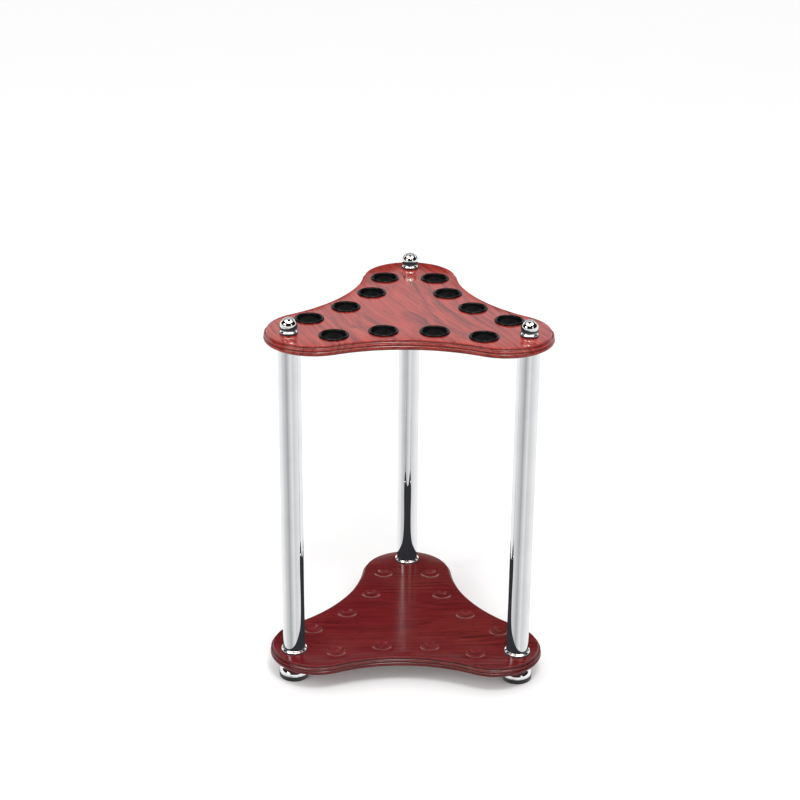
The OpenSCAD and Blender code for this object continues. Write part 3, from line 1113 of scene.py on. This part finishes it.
def one_sided_black(name, colour):
    """Dark from above and clear from below, so that chrome sees a dark board and the board's own
    lacquer still sees the room."""
    material, nodes, links = blank_material(name)
    side = nodes.new("ShaderNodeNewGeometry")
    side.label = "Upper or lower side"
    side.location = (-260, 160)
    upper = nodes.new("ShaderNodeBsdfDiffuse")
    upper.label = "Dark upper side"
    upper.location = (-260, -100)
    upper.inputs["Color"].default_value = (*colour, 1)
    lower = nodes.new("ShaderNodeBsdfTransparent")
    lower.label = "Clear lower side"
    lower.location = (-260, -260)
    both = nodes.new("ShaderNodeMixShader")
    both.label = "One side each"
    both.location = (0, 0)
    out = nodes.new("ShaderNodeOutputMaterial")
    out.label = "Sheet surface"
    out.location = (220, 0)
    links.new(side.outputs["Backfacing"], both.inputs[0])
    links.new(upper.outputs["BSDF"], both.inputs[1])
    links.new(lower.outputs["BSDF"], both.inputs[2])
    links.new(both.outputs["Shader"], out.inputs["Surface"])
    return material


def studio_surroundings(name, strength):
    """White surroundings with softer grey panels low down, so that polished metal has something to
    show: the panel's shade is a ramp over the compass angle atan2(x, -y), and the light above falls
    off towards the zenith."""
    world = bpy.data.worlds.new(name)
    world.use_nodes = True
    nodes = world.node_tree.nodes
    links = world.node_tree.links
    nodes.clear()

    compass_frame = nodes.new("NodeFrame")
    compass_frame.label = "Grey panels round the floor"
    height_frame = nodes.new("NodeFrame")
    height_frame.label = "Light above"

    way = nodes.new("ShaderNodeTexCoord")
    way.label = "Direction"
    parts = nodes.new("ShaderNodeSeparateXYZ")
    parts.label = "Sideways, forward and up"
    forward = nodes.new("ShaderNodeMath")
    forward.label = "Towards the front"
    forward.operation = "MULTIPLY"
    forward.inputs[1].default_value = -1.0
    compass = nodes.new("ShaderNodeMath")
    compass.label = "Compass angle from the front"
    compass.operation = "ARCTAN2"
    turn = nodes.new("ShaderNodeMapRange")
    turn.label = "Share of a whole turn"
    turn.inputs["From Min"].default_value = -math.pi
    turn.inputs["From Max"].default_value = math.pi
    panels = nodes.new("ShaderNodeValToRGB")
    panels.label = "Grey panels"
    shades = ((0.0, 0.90), (0.11, 0.96), (0.22, 0.88), (0.33, 0.64), (0.38, 0.54), (0.425, 0.42))
    shades += ((0.50, 0.66), (0.54, 0.80), (0.60, 0.68), (0.67, 0.76), (0.74, 0.86), (0.82, 0.92))
    shades += ((1.0, 0.90),)
    ramp = panels.color_ramp
    ramp.interpolation = "EASE"
    ramp.elements[0].position, ramp.elements[0].color = shades[0][0], (*[shades[0][1]] * 3, 1)
    ramp.elements[1].position, ramp.elements[1].color = shades[-1][0], (*[shades[-1][1]] * 3, 1)
    for position, shade in shades[1:-1]:
        step = ramp.elements.new(position)
        step.color = (shade, shade, shade, 1)
    above = nodes.new("ShaderNodeValToRGB")
    above.label = "Dimmer towards the zenith"
    above.color_ramp.elements[0].position = 0.62
    above.color_ramp.elements[0].color = (1, 1, 1, 1)
    above.color_ramp.elements[1].position = 0.86
    above.color_ramp.elements[1].color = (0.70, 0.70, 0.70, 1)
    horizon = nodes.new("ShaderNodeMapRange")
    horizon.label = "Above or below the horizon"
    horizon.inputs["From Min"].default_value = -0.14
    horizon.inputs["From Max"].default_value = -0.02
    both = nodes.new("ShaderNodeMix")
    both.label = "Panels below, light above"
    both.data_type = "RGBA"
    glow = nodes.new("ShaderNodeBackground")
    glow.label = "Soft surroundings"
    glow.inputs["Strength"].default_value = strength
    out = nodes.new("ShaderNodeOutputWorld")
    out.label = "Surroundings"

    for node, parent, x, y in (
        (way, None, -1300, 0),
        (parts, None, -1120, 0),
        (forward, compass_frame, -940, 160),
        (compass, compass_frame, -760, 220),
        (turn, compass_frame, -580, 220),
        (panels, compass_frame, -400, 220),
        (above, height_frame, -400, -100),
        (horizon, height_frame, -580, -320),
        (both, None, -60, 60),
        (glow, None, 140, 60),
        (out, None, 340, 60),
    ):
        node.parent = parent
        node.location = (x, y)

    links.new(way.outputs["Generated"], parts.inputs["Vector"])
    links.new(parts.outputs["Y"], forward.inputs[0])
    links.new(parts.outputs["X"], compass.inputs[0])
    links.new(forward.outputs["Value"], compass.inputs[1])
    links.new(compass.outputs["Value"], turn.inputs["Value"])
    links.new(turn.outputs["Result"], panels.inputs["Fac"])
    links.new(parts.outputs["Z"], above.inputs["Fac"])
    links.new(parts.outputs["Z"], horizon.inputs["Value"])
    links.new(horizon.outputs["Result"], both.inputs["Factor"])
    links.new(panels.outputs["Color"], both.inputs["A"])
    links.new(above.outputs["Color"], both.inputs["B"])
    links.new(both.outputs["Result"], glow.inputs["Color"])
    links.new(glow.outputs["Background"], out.inputs["Surface"])
    return world


def chrome(context):
    """The one chrome finish that tubes, collars, finials and domes share."""
    found = bpy.data.materials.get("chrome_plate")
    colour = tuple(context.scene.cue_rack_finishes.chrome)
    hazed = tuple(c * 0.93 for c in colour)
    return found or plated_metal(
        "chrome_plate", colour, hazed, smooth=0.025, rough=0.075, cloud_size=0.06, mark_depth=4e-6
    )


def zinc_steel(context):
    """The one zinc-plated finish that nuts, washers, studs and plugs share."""
    found = bpy.data.materials.get("zinc_plate")
    colour = tuple(context.scene.cue_rack_finishes.steel)
    hazed = tuple(c * 0.8 for c in colour)
    return found or plated_metal(
        "zinc_plate", colour, hazed, smooth=0.24, rough=0.42, cloud_size=0.012, mark_depth=2e-5
    )


# Pieces --------------------------------------------------------------------------------------


class CUERACK_OT_base_board(bpy.types.Operator):
    """Build the base board with its moulded edge and twelve dished seats"""

    bl_idname = "cue_rack.base_board"
    bl_label = "Base board"

    def execute(self, context):
        boards = context.scene.cue_rack_boards
        finishes = context.scene.cue_rack_finishes
        # Painted shade: the base board's patches are halved, and its stain and streaks are darker than
        # the top's, to stand for the shade under the top board over the wood's own colour.
        shaded_patch_share = 0.5
        wood = lacquered_wood(
            "base_board_lacquer",
            tuple(finishes.base_stain_and_shade),
            tuple(finishes.base_streak_and_shade),
            tuple(c * shaded_patch_share for c in finishes.patch),
            turn=math.radians(3),
            pith=(0, 0.05, 0.12),
            ring_scale=44.0,
            sway=0.05,
            contrast=0.55,
            coat=0.7,
            blur=0.18,
        )
        low, high = BASE_LOW, BASE_HIGH
        seats = [dished_seat(place, high.z, boards) for place in CUE_PLACES]
        board_piece("base_board_moulded", "base_board", low, high, boards, wood, seats, boards.foot_hole)
        return {"FINISHED"}


class CUERACK_OT_top_board(bpy.types.Operator):
    """Build the top board with its moulded edge and twelve cue holes"""

    bl_idname = "cue_rack.top_board"
    bl_label = "Top board"

    def execute(self, context):
        boards = context.scene.cue_rack_boards
        finishes = context.scene.cue_rack_finishes
        wood = lacquered_wood(
            "top_board_lacquer",
            tuple(finishes.top_stain),
            tuple(finishes.top_streak),
            tuple(finishes.patch),
            turn=math.radians(-66),
            pith=(0, 0.03, -0.50),
            ring_scale=26.0,
            sway=0.06,
            contrast=0.72,
            coat=0.8,
            blur=0.13,
        )
        low, high = TOP_LOW, TOP_HIGH
        hole = boards.grommet_hole
        holes = [drilled_hole(place, low.z, high.z, hole, TURN_STEPS) for place in CUE_PLACES]
        board_piece("top_board_moulded", "top_board", low, high, boards, wood, holes, boards.finial_hole)
        return {"FINISHED"}


class CUERACK_OT_grommets(bpy.types.Operator):
    """Build the twelve black grommets that line the cue holes"""

    bl_idname = "cue_rack.grommets"
    bl_label = "Grommets"

    def execute(self, context):
        fittings = context.scene.cue_rack_fittings
        colour = tuple(context.scene.cue_rack_finishes.plastic)
        scuffed = tuple(c * 2.2 for c in colour)
        plastic = moulded_black(
            "grommet_plastic",
            colour,
            scuffed,
            smooth=0.10,
            rough=0.18,
            shine=0.12,
            pebble_size=0.9 * MM,
            pebble_depth=0.01 * MM,
        )
        bore = fittings.grommet_bore
        barrel = fittings.grommet_barrel
        rounding = fittings.grommet_round
        face, low = TOP_HIGH.z + 0.02 * MM, TOP_LOW.z
        bore_lead = 0.5 * MM
        crown_dip = 0.25 * MM
        flange_edge, flange_chamfer = 0.28 * MM, 0.3 * MM
        barrel_lead, barrel_taper = 0.8 * MM, 0.6 * MM
        for k, place in enumerate(CUE_PLACES, start=1):
            box_low, box_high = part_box(f"cue_grommet_{k}")
            flange = (box_high.x - box_low.x) / 2
            lip_z = box_high.z - rounding
            profile = np.vstack(
                (
                    ((bore + bore_lead, low), (bore, low + bore_lead)),
                    arc((bore + rounding, lip_z), rounding, 180, 96, 9),
                    ((bore + rounding, box_high.z - crown_dip),),
                    arc((flange - rounding, lip_z), rounding, 90, 0, 9),
                    ((flange, face + flange_edge), (flange - flange_chamfer, face)),
                    ((barrel, face), (barrel, low + barrel_lead)),
                    ((barrel - barrel_taper, low),),
                )
            )
            shape = soften(closed(profile), 0.25 * MM)[:-1]
            name, node = f"grommet_{k}", f"cue_grommet_{k}"
            turned_piece(name, place, shape, True, plastic, "rack", node)
        return {"FINISHED"}


class CUERACK_OT_tubes(bpy.types.Operator):
    """Build the three chromed post tubes"""

    bl_idname = "cue_rack.tubes"
    bl_label = "Post tubes"

    def execute(self, context):
        wall = context.scene.cue_rack_fittings.tube_wall
        burr = 0.3 * MM
        round_steps = 144
        for post, place in POST_PLACES.items():
            low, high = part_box(f"post_tube_{post}")
            outer = (high.x - low.x) / 2
            inner = outer - wall
            profile = np.array(
                (
                    (inner + burr, low.z),
                    (outer - burr, low.z),
                    (outer, low.z + burr),
                    (outer, high.z - burr),
                    (outer - burr, high.z),
                    (inner + burr, high.z),
                    (inner, high.z - burr),
                    (inner, low.z + burr),
                )
            )
            name, node = f"tube_{post}", f"post_tube_{post}"
            turned_piece(name, place, profile, True, chrome(context), "rack", node, round_steps)
        return {"FINISHED"}


class CUERACK_OT_collars(bpy.types.Operator):
    """Build the chromed collars at both ends of each tube"""

    bl_idname = "cue_rack.collars"
    bl_label = "Collars"

    def execute(self, context):
        floor = context.scene.cue_rack_fittings.collar_floor
        boards = context.scene.cue_rack_boards
        holes = {"base": boards.foot_hole, "top": boards.finial_hole}
        clearance = 0.1 * MM
        shoulder, shoulder_drop = 1.6 * MM, 2.4 * MM
        lip, lip_reach = 0.7 * MM, 0.9 * MM
        for post, place in POST_PLACES.items():
            tube_low, tube_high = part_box(f"post_tube_{post}")
            inner = (tube_high.x - tube_low.x) / 2 + clearance
            for end, hole in holes.items():
                low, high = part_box(f"{end}_collar_{post}")
                outer = (high.x - low.x) / 2
                tall = high.z - low.z
                profile = np.vstack(
                    (
                        ((hole, 0), (outer, 0)),
                        arc((outer - shoulder, tall - shoulder_drop), shoulder, 0, 70, 10),
                        arc((inner + lip_reach, tall - lip), lip, 80, 180, 8),
                        ((inner, floor), (hole, floor)),
                    )
                )
                shape = soften(closed(profile), 0.2 * MM)[:-1]
                shape[:, 1] = low.z + shape[:, 1] if end == "base" else high.z - shape[:, 1]
                name, node = f"collar_{end}_{post}", f"{end}_collar_{post}"
                turned_piece(name, place, shape, True, chrome(context), "rack", node)
        return {"FINISHED"}


class CUERACK_OT_finials(bpy.types.Operator):
    """Build the three ball finials on their ring bases"""

    bl_idname = "cue_rack.finials"
    bl_label = "Finials"

    def execute(self, context):
        fittings = context.scene.cue_rack_fittings
        ball = fittings.finial_ball
        ring = fittings.finial_ring
        bore = 4 * MM
        bore_depth = 13 * MM
        neck_gap, neck_groove = 0.8 * MM, 0.4 * MM
        for post, place in POST_PLACES.items():
            low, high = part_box(f"finial_{post}")
            outer = (high.x - low.x) / 2
            ball_z = high.z - ball
            neck_z = low.z + ring + neck_gap
            start = math.degrees(math.asin((neck_z - ball_z) / ball))
            neck = ball * math.cos(math.radians(start))
            upper = arc((0, ball_z), ball, start, 90, 40)
            upper[-1, 0] = 0
            profile = np.vstack(
                (
                    ((0, low.z + bore_depth), (bore, low.z + bore_depth), (bore, low.z)),
                    arc((outer - ring / 2, low.z + ring / 2), ring / 2, -90, 75, 18),
                    ((neck, low.z + ring + neck_groove),),
                    upper,
                )
            )
            name, node = f"ball_finial_{post}", f"finial_{post}"
            turned_piece(name, place, profile, False, chrome(context), "rack", node)
        return {"FINISHED"}


class CUERACK_OT_nuts(bpy.types.Operator):
    """Build the jam nuts and washers under the base board, and plate the hidden fasteners"""

    bl_idname = "cue_rack.nuts"
    bl_label = "Nuts, washers and hidden fasteners"

    def execute(self, context):
        steel = zinc_steel(context)
        flats = context.scene.cue_rack_fittings.nut_flats
        hole = context.scene.cue_rack_boards.foot_hole
        nut_low, nut_high = (corner.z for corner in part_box("jam_nuts"))
        washer_low, washer_high = (corner.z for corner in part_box("jam_washers"))
        washer = (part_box("jam_washers")[1].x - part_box("jam_nuts")[1].x) + flats / 2
        bore = 5.05 * MM
        lead = 0.5 * MM
        chamfer = 1.2 * MM
        edge, burr = 0.3 * MM, 0.1 * MM
        steps = 120
        heights = end_heights(nut_low, nut_high, chamfer, 9)
        outside = hexagon_radii(flats, heights, nut_low, nut_high, chamfer, steps)
        inside = round_radii((bore + lead, bore, bore, bore + lead), steps)
        inside_z = np.array((nut_high, nut_high - lead, nut_low + lead, nut_low))
        nut_z = np.concatenate((heights, inside_z))
        ring = np.array(
            (
                (hole, washer_low),
                (washer - edge, washer_low),
                (washer, washer_low + edge),
                (washer, washer_high - burr),
                (washer - burr, washer_high),
                (hole, washer_high),
            )
        )
        nuts = []
        washers = []
        for place in POST_PLACES.values():
            nuts.append((turned(place, nut_z, np.vstack((outside, inside)), steps), True, True))
            washers.append((lathe(place, ring), True, True))
        piece("jam_nuts_plated", nuts, steel, "rack", ["jam_nuts"])
        piece("jam_washers_plated", washers, steel, "rack", ["jam_washers"])
        hidden = ["finial_studs"]
        hidden += [f"{end}_plug_{post}" for end in ("base", "top") for post in POSTS]
        for node in hidden:
            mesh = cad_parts[node].data
            mesh.materials.clear()
            mesh.materials.append(steel)
        return {"FINISHED"}


class CUERACK_OT_foot_studs(bpy.types.Operator):
    """Build the threaded foot studs with their buttons and hexagons"""

    bl_idname = "cue_rack.foot_studs"
    bl_label = "Foot studs"

    def execute(self, context):
        fittings = context.scene.cue_rack_fittings
        pitch = fittings.thread_pitch
        depth = fittings.thread_depth
        flats = fittings.stud_flats
        crest = 5 * MM
        root = crest - depth
        button, button_tall, button_edge = 7.5 * MM, 2.6 * MM, 0.3 * MM
        dome_gap, nut_gap = 0.2 * MM, 0.1 * MM
        hexagon_end, chamfer = 0.8 * MM, 0.9 * MM
        tip_tall, tip_inset = 0.6 * MM, 0.5 * MM
        steps, screw_steps = 72, 300
        nut_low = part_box("jam_nuts")[0].z
        for post, place in POST_PLACES.items():
            low, high = (corner.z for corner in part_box(f"foot_stud_{post}"))
            dome_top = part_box(f"foot_dome_{post}")[1].z
            hex_low, hex_high = dome_top + dome_gap, nut_low - nut_gap
            shank = np.array(
                (
                    (0, low),
                    (button - button_edge, low),
                    (button, low + button_edge),
                    (button, low + button_tall - button_edge),
                    (button - button_edge, low + button_tall),
                    (crest, low + button_tall),
                    (crest, hex_low),
                )
            )
            hex_z = end_heights(hex_low, hex_high, hexagon_end, 7)
            screw_z = np.linspace(hex_high, high - tip_tall, screw_steps)
            head = round_radii(shank[:, 0], steps)
            hexagon = hexagon_radii(flats, hex_z, hex_low, hex_high, chamfer, steps)
            screw = thread_radii(screw_z, crest, depth, pitch, hex_high, high, steps)
            tip = round_radii((root - tip_inset, 0), steps)
            heights = np.concatenate((shank[:, 1], hex_z, screw_z, (high, high)))
            radii = np.vstack((head, hexagon, screw, tip))
            piece(
                f"threaded_foot_stud_{post}",
                [(turned(place, heights, radii, steps), False, True)],
                zinc_steel(context),
                f"stud_{post}",
                [f"foot_stud_{post}"],
            )
        return {"FINISHED"}


class CUERACK_OT_feet(bpy.types.Operator):
    """Build the chromed foot domes and the black pads they stand on"""

    bl_idname = "cue_rack.feet"
    bl_label = "Feet"

    def execute(self, context):
        rings = context.scene.cue_rack_fittings.tread_rings
        colour = tuple(context.scene.cue_rack_finishes.rubber)
        scuffed = tuple(c * 3 for c in colour)
        rubber = moulded_black(
            "pad_rubber",
            colour,
            scuffed,
            smooth=0.38,
            rough=0.62,
            shine=0.4,
            pebble_size=1.2 * MM,
            pebble_depth=0.04 * MM,
        )
        wall = 1.2 * MM
        crown = 9 * MM
        crown_step = 0.6 * MM
        stud_hole = 5.2 * MM
        skirt = 1 * MM
        groove_start, groove_margin, groove_depth = 9 * MM, 4 * MM, 0.7 * MM
        groove_sides = np.array((-0.9, -0.4, 0.4, 0.9)) * MM
        groove_heights = (0, groove_depth, groove_depth, 0)
        sole_round, shoulder_round = 1.2 * MM, 0.6 * MM
        line_low, line_high, line_depth = 2.2 * MM, 2.8 * MM, 0.25 * MM
        lip_inset, lip_wide, lip_tall = 2.7 * MM, 1.8 * MM, 2 * MM
        boss = 8 * MM
        for post, place in POST_PLACES.items():
            dome_low, dome_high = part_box(f"foot_dome_{post}")
            rim = (dome_high.x - dome_low.x) / 2
            rim_z = dome_low.z + skirt
            rise = dome_high.z - crown_step - rim_z
            turn = np.radians(np.linspace(0, 90, 25))
            outside = np.column_stack((crown + (rim - crown) * np.cos(turn), rim_z + rise * np.sin(turn)))
            inside = np.column_stack(
                (crown + (rim - crown - wall) * np.cos(turn), rim_z + (rise - wall) * np.sin(turn))
            )
            shell = np.vstack(
                (
                    ((rim, dome_low.z),),
                    outside,
                    ((crown - crown_step, dome_high.z), (stud_hole, dome_high.z)),
                    ((stud_hole, rim_z + rise - wall),),
                    inside[::-1],
                    ((rim - wall, dome_low.z),),
                )
            )
            shell = soften(closed(shell), 0.25 * MM)[:-1]
            body, node = f"foot_{post}", f"foot_dome_{post}"
            turned_piece(f"dome_{post}", place, shell, True, chrome(context), body, node)
            pad_low, pad_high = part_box(f"foot_pad_{post}")
            pad = (pad_high.x - pad_low.x) / 2
            face = dome_low.z
            lip = pad - lip_inset
            lip_z = face + lip_tall
            groove = np.linspace(groove_start, pad - groove_margin, rings)[:, None] + groove_sides
            tread = np.column_stack((groove.ravel(), np.tile(groove_heights, rings)))
            sole = np.vstack(
                (
                    ((0, 0),),
                    tread,
                    arc((pad - sole_round, sole_round), sole_round, -90, 0, 8),
                    ((pad, line_low), (pad - line_depth, (line_low + line_high) / 2), (pad, line_high)),
                    arc((pad - shoulder_round, face - shoulder_round), shoulder_round, 0, 90, 6),
                    ((lip, face), (lip, lip_z), (lip - lip_wide, lip_z), (lip - lip_wide, face)),
                    ((boss, face), (boss, pad_high.z), (0, pad_high.z)),
                )
            )
            sole = soften(sole, 0.15 * MM)
            node = f"foot_pad_{post}"
            turned_piece(f"pad_{post}", place, sole, False, rubber, body, node)
        return {"FINISHED"}


def stage_sheet(name, points, faces, material):
    """One mesh of the stage, which isn't part of the rack."""
    mesh = bpy.data.meshes.new(name)
    mesh.from_pydata(points, (), faces)
    mesh.materials.append(material)
    sheet = bpy.data.objects.new(name, mesh)
    bpy.context.scene.collection.objects.link(sheet)
    return sheet


def gloss_sheet(name, points, faces, material):
    """A card or flag that only polished surfaces show: the camera, soft light and shadows miss it."""
    sheet = stage_sheet(name, points, faces, material)
    sheet.visible_camera = False
    sheet.visible_diffuse = False
    sheet.visible_shadow = False


def gloss_card(name, grid, is_loop, material):
    """A gloss sheet on a grid, whose columns can close on themselves."""
    gloss_sheet(name, grid.reshape(-1, 3), quads(*grid.shape[:2], False, is_loop), material)


def rear_grid(half_width, low, high, steps):
    """Upright grid behind the rack: x over the width and z from low to high at one distance."""
    distance = 1.2
    across, up = np.linspace(-half_width, half_width, steps), np.linspace(low, high, steps)
    x, z = np.meshgrid(across, up, indexing="ij")
    return np.stack((x, np.full_like(x, distance), z), axis=2)


def partly_turned(heights, radii, start, reach, steps=72):
    """Part of a surface turned round the room's middle: the columns of the whole turn, from the start
    angle over the reach, both in degrees."""
    whole = turned((0, 0), heights, radii, steps)
    column = 360 / steps
    return np.roll(whole, -round(start / column), axis=1)[:, : round(reach / column) + 1]


def board_shade(name, low, high, material):
    """A level sheet just over a board, inside its outline."""
    inset, gap = 5 * MM, 0.3 * MM
    waist_turn = bpy.context.scene.cue_rack_boards.waist_turn
    centre, radius, facing = outline(low, high, waist_turn)
    rim = centre + (radius - inset)[:, None] * facing
    points = np.column_stack((rim, np.full(len(rim), high.z + gap)))
    gloss_sheet(name, points, [list(range(len(rim)))], material)


class CUERACK_OT_stage(bpy.types.Operator):
    """Lay the floor, hang the cards and lights and set the camera"""

    bl_idname = "cue_rack.stage"
    bl_label = "Floor, light and camera"

    def execute(self, context):
        studio = context.scene.cue_rack_studio
        context.scene.view_settings.view_transform = "Standard"
        context.scene.world = studio_surroundings("studio_surroundings", studio.sky)
        self.lay_floor(studio)
        self.hang_cards()
        self.hang_lamps(context, studio)
        self.set_camera(context, studio)
        return {"FINISHED"}

    def lay_floor(self, studio):
        """A square grid at the rack's feet, which the gloss doesn't show."""
        half, steps = studio.floor_size / 2, 9
        side = np.linspace(-half, half, steps)
        x, y = np.meshgrid(side, side, indexing="ij")
        corners = np.stack((x, y, np.zeros_like(x)), axis=2).reshape(-1, 3)
        faces = quads(steps, steps, False, False)[:, ::-1]
        paper = floor_paper("floor_paper", tuple(studio.floor_colour), studio.floor_glow)
        stage_sheet("studio_floor", corners, faces, paper).visible_glossy = False

    def hang_cards(self):
        """Dark flags behind, above and in front, lit cards low behind and round the top, and a dark
        sheet over each board."""
        dark = black_flag_cloth("flag_cloth")
        lit = bright_card("lit_card", (1.0, 0.8, 0.7), 2.2)
        halo = bright_card("halo_card", (1.0, 0.84, 0.72), 8.0)
        shade = one_sided_black("board_shade", (0.03, 0.03, 0.036))
        ceiling, ring_height = (3.4, 3.4), (3.3, 3.3)
        band_heights, band_radii = (0.95, 3.0), (3.2, 3.2)
        gloss_card("rear_flag", rear_grid(1.2, 0.46, 0.985, 5), False, dark)
        gloss_card("rear_card", rear_grid(0.9, 0.14, 0.40, 2), False, lit)
        gloss_card("zenith_flag", turned((0, 0), ceiling, (0.02, 0.9), 48), True, dark)
        gloss_card("ceiling_flag", turned((0, 0), ceiling, (2.4, 4.2), 48), True, dark)
        gloss_card("halo_card", partly_turned(ring_height, (0.95, 2.3), 170, 185), False, halo)
        for side, start in (("left", 150), ("middle", 235), ("right", 320)):
            part = partly_turned(band_heights, band_radii, start, 70)
            gloss_card(f"front_flag_{side}", part, False, dark)
        board_shade("base_shade", BASE_LOW, BASE_HIGH, shade)
        board_shade("top_shade", TOP_LOW, TOP_HIGH, shade)

    def hang_lamps(self, context, studio):
        """Two square softboxes turned towards the middle of the rack."""
        target = Vector((0, RACK_AXIS[1], 0.35))
        for name, spot, size, power in (
            ("overhead_softbox", (0.3, -1.5, 2.9), 0.7, studio.overhead),
            ("side_softbox", (-2.6, -1.6, 2.0), 0.8, studio.side),
        ):
            light = bpy.data.lights.new(name, "AREA")
            light.shape = "SQUARE"
            light.size = size
            light.energy = power
            lamp = bpy.data.objects.new(name, light)
            lamp.location = spot
            lamp.rotation_euler = (target - Vector(spot)).to_track_quat("-Z", "Y").to_euler()
            context.scene.collection.objects.link(lamp)

    def set_camera(self, context, studio):
        """The camera: rolled about its own line of sight, tilted down from level, then swung round."""
        place = (0.0042, -2.8242, 1.6554)
        down, swing, roll = (math.radians(angle) for angle in (22.95, 0.384, 0.494))
        lens = bpy.data.cameras.new("studio_camera")
        lens.lens = studio.camera_lens
        lens.sensor_width = 36
        lens.clip_end = 100
        camera = bpy.data.objects.new("studio_camera", lens)
        camera.matrix_world = (
            Matrix.Translation(place)
            @ Matrix.Rotation(swing, 4, "Z")
            @ Matrix.Rotation(math.radians(90) - down, 4, "X")
            @ Matrix.Rotation(roll, 4, "Z")
        )
        context.scene.collection.objects.link(camera)
        context.scene.camera = camera


class CUERACK_PT_sidebar(bpy.types.Panel):
    """Sizes and finishes of the cue rack, and a button for each group of pieces"""

    bl_idname = "CUERACK_PT_sidebar"
    bl_label = "Cue rack"
    bl_space_type = "VIEW_3D"
    bl_region_type = "UI"
    bl_category = "Cue Rack"

    def draw(self, context):
        for title, group in SETTINGS.items():
            box = self.layout.box()
            box.label(text=title.replace("cue_rack_", "").capitalize())
            settings = getattr(context.scene, title)
            for name in group.__annotations__:
                box.prop(settings, name)
        for operator in OPERATORS:
            self.layout.operator(operator.bl_idname)


SETTINGS = {
    "cue_rack_boards": RackBoards,
    "cue_rack_fittings": RackFittings,
    "cue_rack_finishes": RackFinishes,
    "cue_rack_studio": RackStudio,
}
OPERATORS = (
    CUERACK_OT_base_board,
    CUERACK_OT_top_board,
    CUERACK_OT_grommets,
    CUERACK_OT_tubes,
    CUERACK_OT_collars,
    CUERACK_OT_finials,
    CUERACK_OT_nuts,
    CUERACK_OT_foot_studs,
    CUERACK_OT_feet,
    CUERACK_OT_stage,
)


def register():
    for group in (*SETTINGS.values(), *OPERATORS, CUERACK_PT_sidebar):
        bpy.utils.register_class(group)
    for name, group in SETTINGS.items():
        setattr(bpy.types.Scene, name, PointerProperty(type=group))


def unregister():
    for name in SETTINGS:
        delattr(bpy.types.Scene, name)
    for group in (CUERACK_PT_sidebar, *reversed(OPERATORS), *reversed(SETTINGS.values())):
        bpy.utils.unregister_class(group)


def main():
    register()
    bpy.ops.cue_rack.base_board()
    bpy.ops.cue_rack.top_board()
    bpy.ops.cue_rack.grommets()
    bpy.ops.cue_rack.tubes()
    bpy.ops.cue_rack.collars()
    bpy.ops.cue_rack.finials()
    bpy.ops.cue_rack.nuts()
    bpy.ops.cue_rack.foot_studs()
    bpy.ops.cue_rack.feet()
    bpy.ops.cue_rack.stage()


if __name__ == "__main__":
    main()
